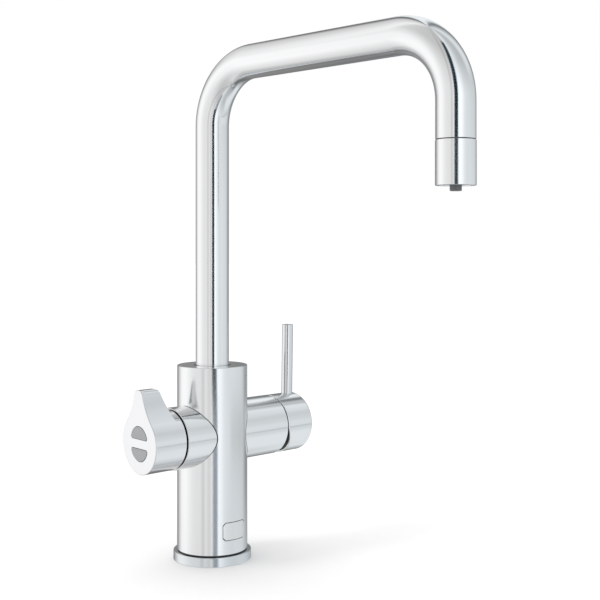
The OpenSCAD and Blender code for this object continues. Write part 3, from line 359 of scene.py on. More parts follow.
@dataclass(frozen=True)
class LightTent:
    """A big shell round the tap with bright walls that only its gloss sees."""

    radius: float = 3000.0
    centre: tuple[float, float, float] = (0.0, 0.0, 200.0)
    front: float = -135.0
    columns: int = 1440
    rows: int = 361
    walls: tuple = (
        (-180.0, 0.22), (-165.0, 0.34), (-150.0, 0.3), (-140.0, 0.42), (-128.0, 0.76), (-112.0, 1.08),
        (-92.0, 1.12), (-80.0, 1.04), (-62.0, 0.92), (-46.0, 0.88), (-32.0, 0.88), (-29.0, 0.7),
        (-22.0, 0.7), (-18.0, 0.94), (-12.0, 0.82), (-5.0, 0.72), (15.0, 1.26), (24.0, 1.2), (34.0, 1.04),
        (45.0, 0.88), (60.0, 0.82), (84.0, 0.76), (117.0, 0.7), (132.0, 0.5), (145.0, 0.28),
        (155.0, 0.34), (180.0, 0.22),
    )
    tint_turn: float = 14.5
    cool_tint: tuple[float, float, float] = (0.955, 1.0, 1.03)
    level_band: float = 14.0
    high_share: float = 0.72
    high_angle: float = 46.0
    high_walls: tuple = (
        (-180.0, 0.2), (-168.0, 0.2), (-156.0, 0.55), (-143.0, 0.72), (-125.0, 0.78), (-109.0, 0.9),
        (-90.0, 1.05), (90.0, 0.76), (108.0, 0.84), (117.0, 0.92), (125.0, 0.56), (135.0, 0.62),
        (141.0, 0.28), (150.0, 0.22), (156.0, 0.7), (162.0, 1.0), (172.0, 1.0), (180.0, 0.7),
    )
    high_wall_rises: tuple[float, float] = (20.0, 32.0)
    high_wall_turns: tuple[float, float] = (82.0, 92.0)
    line_turns: tuple[float, ...] = (60.0, 72.0, 112.0, 126.0)
    line_rises: tuple[float, ...] = (-13.0, -12.0, -11.0, -10.0)
    line_level: float = 0.52
    band_rises: tuple[float, ...] = (-10.0, -8.0, 3.0, 10.0)
    band_share: float = 0.1
    low_wall_turns: tuple[float, ...] = (70.0, 88.0, 150.0, 178.0)
    low_wall_rises: tuple[float, ...] = (-62.0, -46.0, -26.0, -14.0)
    low_wall_level: float = 0.88

    def glow(self, turn: np.ndarray, rise: np.ndarray) -> np.ndarray:
        """The shell's colour by direction.

        The level runs in straight steps between the walls' levels by the turn, times a share that falls
        from one at the level band to the high share. Low on the right it mixes towards the low wall's
        level, high at the sides towards the high walls' levels, and on the right a level band is a little
        brighter over a thin darker line.

        Args:
            turn: angle from the camera's back in degrees, to the picture's right.
            rise: angle over the level in degrees.

        Returns:
            Colours with a last axis of three.
        """
        fall = np.interp(np.abs(rise), (self.level_band, self.high_angle), (1.0, self.high_share))
        level = np.interp(turn, *np.array(self.walls).T) * fall
        near = np.interp(turn, self.low_wall_turns, GATE) * np.interp(rise, self.low_wall_rises, GATE)
        level = level + near * (self.low_wall_level - level)
        above = np.interp(rise, self.high_wall_rises, (0.0, 1.0))
        above = above * np.interp(np.abs(turn), self.high_wall_turns, (0.0, 1.0))
        level = level + above * (np.interp(turn, *np.array(self.high_walls).T) - level)
        line = np.interp(turn, self.line_turns, GATE)
        level = level * (1.0 + self.band_share * line * np.interp(rise, self.band_rises, GATE))
        line = line * np.interp(rise, self.line_rises, GATE)
        level = (level + line * (self.line_level - level))[..., None]
        cool = np.clip(turn / self.tint_turn, 0.0, 1.0)[..., None]
        return level * (1.0 - cool + cool * np.array(self.cool_tint))

    def build(self) -> None:
        """Makes the shell: a sphere on a grid of turn and rise, by their cosines and sines."""
        turns, rises = np.meshgrid(np.linspace(-180.0, 180.0, self.columns + 1),
                                   np.linspace(-90.0, 90.0, self.rows))
        flat, high = np.radians(turns + self.front), np.radians(rises)
        ball = np.stack([np.cos(high) * np.cos(flat), np.cos(high) * np.sin(flat), np.sin(high)], -1)
        hidden_glow("light_tent", self.radius * ball + np.array(self.centre), self.glow(turns, rises))


@dataclass(frozen=True)
class DarkCard:
    """An upright card near the camera that only gloss sees; it draws the dark line on the round pieces."""

    place: tuple[float, float] = (-352.0, -517.0)
    facing: float = -124.0
    width: float = 165.0
    low_shift: float = 35.0
    heights: tuple[float, ...] = (-700.0, 20.0, 60.0, 1400.0)
    high_tone: tuple[float, float, float] = (0.012, 0.03, 0.045)
    low_tone: tuple[float, float, float] = (0.3, 0.34, 0.38)

    def build(self) -> None:
        """Makes the card: four rows of two points, the lower two rows paler and moved to the side."""
        turn = math.radians(self.facing)
        side = np.array([-math.sin(turn), math.cos(turn)])
        shift = np.array([self.low_shift, self.low_shift, 0.0, 0.0])[:, None]
        away = np.array([-0.5, 0.5]) * self.width + shift
        flat = np.array(self.place) + away[..., None] * side
        height = np.broadcast_to(np.array(self.heights)[:, None, None], (*away.shape, 1))
        tones = [self.low_tone, self.low_tone, self.high_tone, self.high_tone]
        hidden_glow("dark_card", np.concatenate([flat, height], -1), np.repeat(tones, 2, axis=0))


@dataclass(frozen=True)
class Sunlight:
    """A far light that gloss doesn't see: where it comes from, how wide and how strong it is."""

    name: str
    turn: float
    rise: float
    width: float
    power: float

    def build(self, front: float) -> None:
        """Makes the light, its turn counted from the camera's back direction.

        Args:
            front: angle of the camera's back direction from +X.
        """
        data = bpy.data.lights.new(self.name, "SUN")
        data.angle = math.radians(self.width)
        data.energy = self.power
        sun = bpy.data.objects.new(self.name, data)
        sun.rotation_euler = (math.radians(90.0 - self.rise), 0.0, math.radians(self.turn + front + 90.0))
        sun.visible_glossy = False
        bpy.context.scene.collection.objects.link(sun)


@dataclass(frozen=True)
class Studio:
    """The pale floor, the white surroundings and the lights that draw the tap's soft shadow."""

    lens: Lens = Lens()
    tent: LightTent = LightTent()
    card: DarkCard = DarkCard()
    floor_half: float = 9000.0
    floor_tone: tuple[float, float, float] = (0.8, 0.8, 0.8)
    cloud_scale: float = 1.5
    cloud_share: float = 0.005
    sky_level: float = 1.0
    key: Sunlight = Sunlight("key", -68.0, 40.0, 14.0, 0.6)
    wide: Sunlight = Sunlight("wide", 200.0, 62.0, 80.0, 0.95)

    def build(self) -> None:
        """Makes the camera, the floor, the surroundings and the lights, with plain colours in the picture."""
        self.lens.build()
        self.tent.build()
        self.card.build()
        self.floor()
        self.sky()
        for light in (self.key, self.wide):
            light.build(self.tent.front)
        bpy.context.scene.view_settings.view_transform = "Standard"

    def floor(self) -> None:
        """A flat square on the bench's level that gloss doesn't see."""
        half = self.floor_half * MM
        mesh = bpy.data.meshes.new("floor")
        mesh.from_pydata([(-half, -half, 0.0), (half, -half, 0.0), (half, half, 0.0), (-half, half, 0.0)],
                         [], [(0, 1, 2, 3)])
        tree = ShaderTree("pale_floor")
        tone = tree.tones(tree.noise(Grain.EVEN, self.cloud_scale), self.floor_tone, self.cloud_share)
        mesh.materials.append(tree.surface(tree.add("ShaderNodeBsdfDiffuse", Color=tone)))
        floor = bpy.data.objects.new("floor", mesh)
        bpy.context.scene.collection.objects.link(floor)
        floor.visible_glossy = False

    def sky(self) -> None:
        """An even white world that gloss doesn't see."""
        world = bpy.data.worlds.new("white_room")
        world.use_nodes = True
        back = world.node_tree.nodes["Background"]
        back.inputs["Color"].default_value = (1.0, 1.0, 1.0, 1.0)
        back.inputs["Strength"].default_value = self.sky_level
        bpy.context.scene.world = world
        world.cycles_visibility.glossy = False


# Surfaces


@dataclass(frozen=True)
class Axis:
    """A place and three square directions that a surface is set out by."""

    origin: tuple[float, float, float]
    along: tuple[float, float, float]
    across: tuple[float, float, float]
    up: tuple[float, float, float]

    def place(self, along: Measure, across: Measure, up: Measure) -> np.ndarray:
        """Points at distances along the three directions from the origin.

        Args:
            along: distance along the axis, a number or an array.
            across: distance along the first square direction.
            up: distance along the second square direction.

        Returns:
            Points with a last axis of three.
        """
        along, across, up = np.broadcast_arrays(np.asarray(along, float), across, up)
        return (np.array(self.origin) + along[..., None] * np.array(self.along)
                + across[..., None] * np.array(self.across) + up[..., None] * np.array(self.up))

    def flat(self, points: np.ndarray) -> np.ndarray:
        """The points' distances along the two square directions, with a last axis of two."""
        shifted = points - np.array(self.origin)
        return np.stack([shifted @ np.array(self.across), shifted @ np.array(self.up)], -1)


UPRIGHT = Axis((0.0, 0.0, 0.0), (0.0, 0.0, 1.0), (0.0, -1.0, 0.0), (1.0, 0.0, 0.0))
OUTLET = Axis((0.0, -REACH, 0.0), (0.0, 0.0, 1.0), (0.0, -1.0, 0.0), (1.0, 0.0, 0.0))
SIDEWAYS = Axis((0.0, 0.0, SIDE_HEIGHT), (1.0, 0.0, 0.0), (0.0, 1.0, 0.0), (0.0, 0.0, 1.0))


def rounded(corners: list, closed: bool = True, steps: int = 6) -> np.ndarray:
    """Replaces each corner of a profile by an arc that leaves both sides smoothly.

    The arc's middle lies on the line that halves the corner, at the radius over the sine of half the
    corner's angle. A point on the arc is a mix of the two end directions, weighted by sines.

    Args:
        corners: each corner's radius from the axis, its place along it, and its rounding.
        closed: whether the profile returns to its start.
        steps: parts of each arc.

    Returns:
        Profile points as radius and place along the axis.
    """
    table = np.array(corners, float)
    points, radii = table[:, :2], table[:, 2]
    back = np.roll(points, 1, axis=0) - points
    ahead = np.roll(points, -1, axis=0) - points
    back = back / np.linalg.norm(back, axis=1, keepdims=True)
    ahead = ahead / np.linalg.norm(ahead, axis=1, keepdims=True)
    half = np.arccos(np.clip(np.sum(back * ahead, axis=1), -1.0, 1.0)) / 2.0
    middle = (back + ahead) / np.linalg.norm(back + ahead, axis=1, keepdims=True)
    centre = points + middle * (radii / np.sin(half))[:, None]
    first = points + back * (radii / np.tan(half))[:, None] - centre
    last = points + ahead * (radii / np.tan(half))[:, None] - centre
    turn = (math.pi - 2.0 * half)[:, None, None]
    part = np.linspace(0.0, 1.0, steps + 1)[None, :, None]
    arcs = (np.sin((1.0 - part) * turn) * first[:, None] + np.sin(part * turn) * last[:, None]) / np.sin(turn)
    line = (centre[:, None] + arcs).reshape(-1, 2)
    if closed:
        line = np.vstack([line, line[:1]])
    moved = np.linalg.norm(np.diff(line, axis=0), axis=1) > SAME_POINT
    return line[np.concatenate([[True], moved])]


def bevel(size: Measure, place: Measure, inward: Measure, back: Measure,
          turns: np.ndarray = QUARTER) -> list:
    """A quarter-round edge: one less cosine of the turn moves the size, one less sine moves the place.

    Args:
        size: size on the side of the edge.
        place: place of the end that the edge leads to.
        inward: how far the edge moves the size, with its sign.
        back: how far it moves the place.
        turns: the turns, from the side to the end.

    Returns:
        Pairs of size and place.
    """
    return [(size + inward * (1.0 - math.cos(turn)), place + back * (1.0 - math.sin(turn))) for turn in turns]


def arc(centre: tuple[float, float], radius: float, start: float, end: float, steps: int) -> np.ndarray:
    """Points of a circle's arc between two angles in degrees: centre plus radius times cosine and sine."""
    angle = np.radians(np.linspace(start, end, steps + 1))
    return np.array(centre) + radius * np.column_stack([np.cos(angle), np.sin(angle)])


def smooth(share: np.ndarray) -> np.ndarray:
    """A soft step: three times the share squared less twice its cube."""
    return share * share * (3.0 - 2.0 * share)


def spaced(loop: np.ndarray, step: float) -> np.ndarray:
    """Spreads a closed outline's points evenly, about one step apart; the last repeats the first."""
    ring = np.vstack([loop, loop[:1]])
    run = np.concatenate([[0.0], np.cumsum(np.linalg.norm(np.diff(ring, axis=0), axis=1))])
    keep = np.concatenate([[True], np.diff(run) > SAME_RUN])
    at = np.linspace(0.0, run[-1], int(run[-1] / step) + 1)
    return np.column_stack([np.interp(at, run[keep], ring[keep, part]) for part in (0, 1)])


def grown(loop: np.ndarray, distance: Measure) -> np.ndarray:
    """Moves a closed outline outwards along its own normals.

    The normal is the outline's direction, taken between the two neighbours, turned to the right.

    Args:
        loop: outline points run against the clock; the last repeats the first.
        distance: how far, a number or one number per point; a negative one moves inwards.

    Returns:
        The moved outline.
    """
    ring = loop[:-1]
    course = np.roll(ring, -1, axis=0) - np.roll(ring, 1, axis=0)
    course = course / np.linalg.norm(course, axis=1, keepdims=True)
    normal = np.column_stack([course[:, 1], -course[:, 0]])
    normal = np.vstack([normal, normal[:1]])
    return loop + normal * np.broadcast_to(distance, len(loop))[:, None]


def loop_of(points: np.ndarray, rows: tuple[int, int], columns: tuple[int, int]) -> np.ndarray:
    """The border of a rectangle of a grid, as one closed run of points."""
    step = 1 if rows[1] > rows[0] else -1
    down = np.arange(rows[0], rows[1], step)
    left, right = columns
    return np.concatenate([points[rows[0], left:right], points[down, right],
                           points[rows[1], left + 1:right + 1][::-1], points[down + step, left][::-1],
                           points[rows[0], left:left + 1]])


@dataclass(frozen=True)
class Bore:
    """A round hole that goes straight into a turned wall, towards the wall's axis."""

    centre: tuple[float, float, float]
    out: tuple[float, float, float]
    along: tuple[float, float, float]
    radius: float
    outer: float
    inner: float
    edge: float = HAIR
    rings: int = 5

    def surface(self, outer_loop: np.ndarray, inner_loop: np.ndarray | None = None) -> np.ndarray:
        """The wall round the hole, the hole's rounded edge, its side, and the wall's inside or a floor.

        A ring between border and circle mixes the two in the view along the hole, and its height is the
        root of the wall's radius squared less the distance across squared.

        Args:
            outer_loop: border of the opening left in the wall's outside.
            inner_loop: border of the one left in its inside, or none where the hole has a floor.

        Returns:
            A grid of points from the outer border to the inner one or to the floor's middle.
        """
        axis = Axis(self.centre, self.out, tuple(np.cross(self.along, self.out)), self.along)

        def laid(flat: np.ndarray, radius: float, sink: Measure = 0.0) -> np.ndarray:
            """Points of the view along the hole, set on a round wall and then sunk."""
            return axis.place(np.sqrt(radius ** 2 - flat[..., 0] ** 2) - sink, flat[..., 0], flat[..., 1])

        border = axis.flat(outer_loop)
        around = border / np.linalg.norm(border, axis=1, keepdims=True)
        circle = around * self.radius
        part = np.linspace(0.0, 1.0, self.rings)[:, None, None]
        bend = QUARTER[1:, None, None]
        edge = around * (self.radius + self.edge * (1.0 - np.sin(bend)))
        rows = [laid(border * (1.0 - part) + around * (self.radius + self.edge) * part, self.outer),
                laid(edge, self.outer, self.edge * (1.0 - np.cos(bend[..., 0])))]
        if inner_loop is None:
            rows += [axis.place(self.inner, *(share * circle.T[:, None])) for share in (1.0, 0.0)]
        else:
            rows.append(laid(circle[None], self.inner))
            rows.append(laid(circle * (1.0 - part) + axis.flat(inner_loop) * part, self.inner))
        return np.concatenate(rows)


class Shell:
    """A closed surface that is put together from grids of points and filled outlines."""

    def __init__(self, *grids: np.ndarray) -> None:
        """Starts with grids of points.

        Args:
            grids: the grids, or none.
        """
        self.points: list[np.ndarray] = []
        self.faces: list[list] = []
        self.flow: list[np.ndarray] = []
        self.total = 0
        for points in grids:
            self.grid(points)

    def add(self, points: np.ndarray, faces: np.ndarray, flow: np.ndarray | None = None) -> None:
        """Adds points with their faces, and how the grain lies on them.

        Args:
            points: points in millimetres.
            faces: point numbers within these points.
            flow: the grain's own coordinates, or none where the place itself serves.
        """
        flat = points.reshape(-1, 3)
        self.points.append(flat)
        self.flow.append(flat if flow is None else flow.reshape(-1, 3))
        self.faces.extend((faces + self.total).tolist())
        self.total += len(flat)

    def grid(self, points: np.ndarray, stay: np.ndarray | None = None,
             flow: np.ndarray | None = None) -> None:
        """Adds a grid of points with all its faces, or with those that stay."""
        faces = grid_faces(*points.shape[:2])
        self.add(points, faces if stay is None else faces[stay.ravel()], flow)

    def pierced(self, points: np.ndarray, bore: Bore, columns: tuple[int, int], *openings: tuple) -> None:
        """Adds a grid with rectangles left open where a hole runs through it, and the hole's own surface.

        Args:
            points: the wall's grid.
            bore: the hole.
            columns: first and last column of the openings.
            openings: first and last row of the one outside and, where there is one, of that inside.
        """
        stay = np.ones((points.shape[0] - 1, points.shape[1] - 1), bool)
        for rows in openings:
            stay[min(rows):max(rows), columns[0]:columns[1]] = False
        self.grid(points, stay)
        self.grid(bore.surface(*(loop_of(points, rows, columns) for rows in openings)))

    def fill(self, axis: Axis, depth: float, loops: list[np.ndarray]) -> None:
        """Fills the flat area between outlines with triangles.

        A triangle stays where a line from its middle crosses the outlines an odd number of times.

        Args:
            axis: the plane's own directions.
            depth: distance of the area along the axis.
            loops: outlines in the plane, the outer one and its holes; the last point repeats the first.
        """
        rings = [loop[:-1] for loop in loops]
        starts = np.cumsum([0] + [len(ring) for ring in rings])
        flat = np.concatenate(rings)
        following = [np.roll(np.arange(len(ring)), -1) + start for ring, start in zip(rings, starts)]
        edges = np.column_stack([np.arange(len(flat)), np.concatenate(following)])
        corners, _, triangles, *_ = delaunay_2d_cdt(flat.tolist(), edges.tolist(), [], 0, SAME_CORNER)
        corners = np.array([tuple(corner) for corner in corners])
        triangles = np.array(triangles)
        middle = corners[triangles].mean(axis=1)
        one, two = flat[edges[:, 0]], flat[edges[:, 1]]
        spans = (one[None, :, 1] > middle[:, None, 1]) != (two[None, :, 1] > middle[:, None, 1])
        rise = np.where(np.abs(two[:, 1] - one[:, 1]) < SAME_LEVEL, 1.0, two[:, 1] - one[:, 1])
        meets = one[:, 0] + (middle[:, None, 1] - one[:, 1]) * (two[:, 0] - one[:, 0]) / rise
        inside = np.sum(spans & (meets > middle[:, None, 0]), axis=1) % 2 == 1
        self.add(axis.place(depth, corners[:, 0], corners[:, 1]), triangles[inside])

    def build(self, name: str) -> bpy.types.Object:
        """Makes the object: joins points that meet, turns the faces outwards and keeps real edges sharp.

        Args:
            name: the piece's name.

        Returns:
            The new object, linked to the scene.
        """
        mesh = bpy.data.meshes.new(name)
        mesh.from_pydata(np.concatenate(self.points) * MM, [], self.faces)
        flow = mesh.attributes.new("flow", "FLOAT_VECTOR", "POINT")
        flow.data.foreach_set("vector", (np.concatenate(self.flow) * MM).ravel())
        work = bmesh.new()
        work.from_mesh(mesh)
        bmesh.ops.remove_doubles(work, verts=work.verts, dist=WELD)
        bmesh.ops.dissolve_degenerate(work, edges=work.edges, dist=WELD / 10.0)
        bmesh.ops.recalc_face_normals(work, faces=work.faces)
        open_edges = sum(1 for edge in work.edges if len(edge.link_faces) != 2)
        work.to_mesh(mesh)
        work.free()
        if open_edges:
            LOG.warning("%s has %d open edges", name, open_edges)
        mesh.polygons.foreach_set("use_smooth", np.ones(len(mesh.polygons), bool))
        mesh.set_sharp_from_angle(angle=SHARP)
        obj = bpy.data.objects.new(name, mesh)
        bpy.context.scene.collection.objects.link(obj)
        weighted = obj.modifiers.new("even_normals", "WEIGHTED_NORMAL")
        weighted.keep_sharp = True
        return obj


def lathe(corners: list, axis: Axis, columns: int = COLUMNS, closed: bool = True) -> Shell:
    """A rounded profile carried round an axis: across is radius times cosine, up is radius times sine.

    Args:
        corners: the profile, as rounded takes it.
        axis: the axis.
        columns: parts of the full turn.
        closed: whether the profile returns to its start.

    Returns:
        The turned surface.
    """
    profile = rounded(corners, closed)
    angle = np.linspace(0.0, 2.0 * math.pi, columns + 1)
    return Shell(axis.place(profile[:, 1:], profile[:, :1] * np.cos(angle), profile[:, :1] * np.sin(angle)))


def saddle_rows(radius: float, bore: float, saddle: float, edge: float, side: float) -> list:
    """A barrel's end that follows a round column: its surface from the bore out, and its rounded edge.

    The distance from the column's axis is the root of the saddle's radius squared less the distance to
    the front or back squared.

    Args:
        radius: the barrel's outside.
        bore: the barrel's inside.
        saddle: the column's radius with the gap on it.
        edge: rounding of the outer edge.
        side: 1 where the barrel points to +X, -1 where it points to -X.

    Returns:
        Rows of radius and place along the axis.
    """
    def meets(size: float) -> np.ndarray:
        """Place of the saddle's surface at a radius."""
        return side * np.sqrt(saddle ** 2 - (size * np.cos(ROUND)) ** 2)

    rows = [(size, meets(size)) for size in np.linspace(bore, radius - edge, SADDLE_ROWS)]
    turns = QUARTER[::-1][1:]
    return rows + [(size, meets(size) + side * rise) for size, rise in bevel(radius, 0.0, -edge, edge, turns)]


def barrel(rows: list) -> np.ndarray:
    """Points round the side arms' axis: across is radius times cosine, up is radius times sine."""
    wide = np.ones_like(ROUND)
    radius = np.stack([row[0] * wide for row in rows])
    along = np.stack([row[1] * wide for row in rows])
    return SIDEWAYS.place(along, radius * np.cos(ROUND), radius * np.sin(ROUND))


# Pieces


@dataclass(frozen=True)
class Assembly:
    """A group of pieces that shares the wardrobe."""

    wardrobe: Wardrobe

    def show(self, shell: Shell, name: str, node: str | None, body: Body, look: Look,
             slot: str = STEEL_SLOT) -> None:
        """Makes a piece of a shell, dresses it and lets it stand for its node.

        Args:
            shell: the piece's surface.
            name: the piece's name.
            node: the frame's node that it replaces, or none for a piece of the scene alone.
            body: the body that it moves with.
            look: its finish.
            slot: the record's slot for that finish; not used.
        """
        piece = shell.build(name)
        self.wardrobe.dress(piece, look)
        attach(piece, body.value)
        if node:
            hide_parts(node)
        LOG.info("%s: %d faces, rides on %s", name, len(piece.data.polygons), body.value)


@dataclass(frozen=True)
class Column(Assembly):
    """The base flange, the round column and the bare plate let into its foot."""

    radius: float = 26.4
    foot: float = 7.6
    top: float = 145.1
    edge: float = 0.6
    bore: float = 23.0
    cap: float = 4.0
    lead: float = 2.0
    socket: float = 14.0
    soft: float = 0.3
    flange: float = 29.15
    flange_height: float = 6.8
    flange_bore: float = 18.5
    flange_web: float = 3.0
    flange_foot_edge: float = 0.25
    groove: tuple[float, float, float] = (20.66, 26.74, 1.44)
    badge_half: tuple[float, float] = (10.3, 6.4)
    badge_height: float = 24.6
    badge_corner: float = 2.0
    badge_gap: float = 0.3
    badge_depth: float = 0.7
    badge_fit: float = 0.04
    badge_rows: int = 12
    badge_parts: tuple[int, int] = (18, 10)
    plate_play: float = 0.1
    plate_step: float = 0.3
    # the black bead in the plate's gap that paints the gap's shade: how deep it sits and where it starts
    seal_depth: float = 0.3
    seal_start: float = 0.02
    pocket_slope: float = 0.3
    pocket_lead: float = 0.35
    fine_step: float = 0.075
    fine_reach: tuple[float, float] = (2.2, 0.9)
    behind_lines: int = 167
    side_lines: int = 46
    wall_rows: tuple[float, float, int] = (38.0, 110.0, 7)
    bore_rows: tuple[float, float] = (80.0, 40.0)
    over_stop: float = 135.0
    stop_height: float = 121.5
    stop_radius: float = 2.52
    stop_half: float = 5.0
    stop_rows: int = 7
    stop_columns: int = 7

    def build(self) -> None:
        """Makes the flange, the column, the plate and the black bead that paints the shade in its gap."""
        near, far, deep = self.groove
        flange = lathe([
            (self.flange_bore, 0.0, 0.0), (near, 0.0, 0.0), (near, deep, 0.0), (far, deep, 0.0),
            (far, 0.0, 0.0), (self.flange, 0.0, self.flange_foot_edge),
            (self.flange, self.flange_height, self.edge), (self.bore, self.flange_height, HAIR),
            (self.bore, self.flange_web, 0.0), (self.flange_bore, self.flange_web, self.soft),
        ], UPRIGHT)
        # the flange wears the darker, bluer steel that paints the shade at the foot
        self.show(flange, "flange", "base_flange", Body.TAP, Look.FLANGE_STEEL)
        self.show(self.shell(), "column", "column_shell", Body.TAP, Look.COLUMN_STEEL)
        self.show(self.badge(), "bare_plate", "badge_plate", Body.TAP, Look.BADGE_STEEL)
        # a black bead in the plate's gap, a piece of the scene alone: painted shade of that gap
        self.show(self.plate_seal(), "plate_seal", None, Body.TAP, Look.BLACK_RUBBER, "black_rubber")

    def inside_pocket(self, across: np.ndarray, height: np.ndarray) -> np.ndarray:
        """How far a place lies inside the plate's eight-sided pocket.

        It is the least distance to the upright sides, the level sides and the four cut corners.

        Args:
            across: distance from the column's middle plane.
            height: height over the bench.

        Returns:
            The distance, negative outside.
        """
        wide, high = (half + self.badge_gap for half in self.badge_half)
        side, rise = np.abs(across), np.abs(height - self.badge_height)
        cut = (wide + high - self.badge_corner - side - rise) / math.sqrt(2.0)
        return np.minimum(np.minimum(wide - side, high - rise), cut)

    def dense(self, half: float, parts: int) -> np.ndarray:
        """Places from side to side that are dense where the pocket's border runs and sparse between."""
        near = np.arange(half - self.fine_reach[0], half + self.fine_reach[1], self.fine_step)
        return np.concatenate([-near[::-1], np.linspace(-near[0], near[0], parts)[1:-1], near])

    def lines(self) -> tuple[np.ndarray, np.ndarray]:
        """The column's upright and level grid lines.

        Returns:
            Angles from the front, from the right side round the back and the front to the right side
            again, and heights.
        """
        wide, high = self.badge_half
        front = 2.0 * math.pi + np.arcsin(self.dense(wide, self.badge_parts[0]) / self.radius)
        behind = np.linspace(math.pi / 2.0, front[0], self.behind_lines)[:-1]
        side = np.linspace(front[-1], 2.5 * math.pi, self.side_lines)[1:]
        heights = np.concatenate([
            [self.foot + self.edge],
            self.badge_height + self.dense(high, self.badge_parts[1]),
            np.linspace(*self.wall_rows),
            self.stop_height + np.linspace(-self.stop_half, self.stop_half, self.stop_rows),
            [self.over_stop, self.top - self.edge],
        ])
        return np.concatenate([behind, front, side]), heights

    def shell(self) -> Shell:
        """The column: the wall's radius less the pocket's depth times a soft step of the place in it."""
        angles, heights = self.lines()
        depth = self.inside_pocket(self.radius * np.sin(angles)[None, :], heights[:, None])
        step = np.clip(depth / self.pocket_slope + self.pocket_lead, 0.0, 1.0) * (np.cos(angles) > 0.0)
        wall = self.radius - self.badge_depth * smooth(step)
        head = rounded([(self.radius, self.top - self.lead, 0.0), (self.radius, self.top, self.edge),
                        (self.socket, self.top, self.soft), (self.socket, self.top - self.cap, 0.0),
                        (self.bore, self.top - self.cap, 0.0)], closed=False)[1:]
        stop = self.stop_height + np.linspace(self.stop_half, -self.stop_half, self.stop_rows)
        inner = [(self.bore, height) for height in (self.over_stop, *stop, *self.bore_rows, self.foot)]
        foot = rounded([(self.bore, self.foot + self.lead, 0.0), (self.bore, self.foot, 0.0),
                        (self.radius, self.foot, self.soft), (self.radius, self.foot + self.lead, 0.0)],
                       closed=False)[2:-1]
        rest = np.vstack([head, inner, foot])
        radius = np.vstack([wall, rest[:, :1] * np.ones(len(angles)), wall[:1]])
        along = np.concatenate([heights, rest[:, 1], heights[:1]])[:, None]
        points = UPRIGHT.place(along, radius * np.cos(angles), radius * np.sin(angles))
        span = self.stop_rows - 1
        low = len(heights) - self.stop_rows - 2
        inside = len(heights) + len(head) + 1
        back = int(np.argmin(np.abs(angles - math.pi)))
        bore = Bore((0.0, 0.0, self.stop_height), (0.0, 1.0, 0.0), (0.0, 0.0, 1.0), self.stop_radius,
                    self.radius, self.bore)
        shell = Shell()
        shell.pierced(points, bore, (back - self.stop_columns, back + self.stop_columns),
                      (low, low + span), (inside + span, inside))
        return shell

    def plate_outline(self) -> np.ndarray:
        """The plate's eight sides with slightly rounded corners, as distance across and height."""
        wide, high = (half - self.plate_play for half in self.badge_half)
        cut, soft = self.badge_corner, self.soft
        half = [(-wide, cut - high, soft), (cut - wide, -high, soft), (wide - cut, -high, soft),
                (wide, cut - high, soft)]
        return spaced(rounded(half + [(-x, -z, soft) for x, z, soft in half])[:-1], self.plate_step)

    def on_wall(self, rows: list) -> Shell:
        """Lays outlines on round walls round the column's axis.

        The depth is the root of the wall's radius squared less the distance across squared.

        Args:
            rows: outlines round the plate's middle, each with its wall's radius.

        Returns:
            The surface through them.
        """
        flat = np.stack([row[0] for row in rows])
        depth = np.array([row[1] for row in rows])[:, None]
        away = np.sqrt(depth ** 2 - flat[..., 0] ** 2)
        return Shell(UPRIGHT.place(self.badge_height + flat[..., 1], away, flat[..., 0]))

    def plate_seal(self) -> Shell:
        """The black bead that paints the plate gap's shade: a small square section carried round the outline.
        """
        outline = self.plate_outline()
        near, far = self.seal_start, self.badge_gap + self.plate_play
        low, high = self.radius - self.badge_depth + self.badge_fit, self.radius - self.seal_depth
        section = [(near, low), (far, low), (far, high), (near, high), (near, low)]
        return self.on_wall([(grown(outline, out), deep) for out, deep in section])

    def badge(self) -> Shell:
        """The plate: its outline grows from the back's middle, goes round the edge and shrinks again."""
        outline = self.plate_outline()
        floor = self.radius - self.badge_depth + self.badge_fit
        shares = np.linspace(0.0, 1.0, self.badge_rows)
        rows = [(outline * share, floor) for share in shares]
        rows += [(grown(outline, out), deep) for out, deep in bevel(0.0, self.radius, -HAIR, -HAIR)]
        inner = grown(outline, -HAIR)
        return self.on_wall(rows + [(inner * share, self.radius) for share in shares[::-1][1:]])


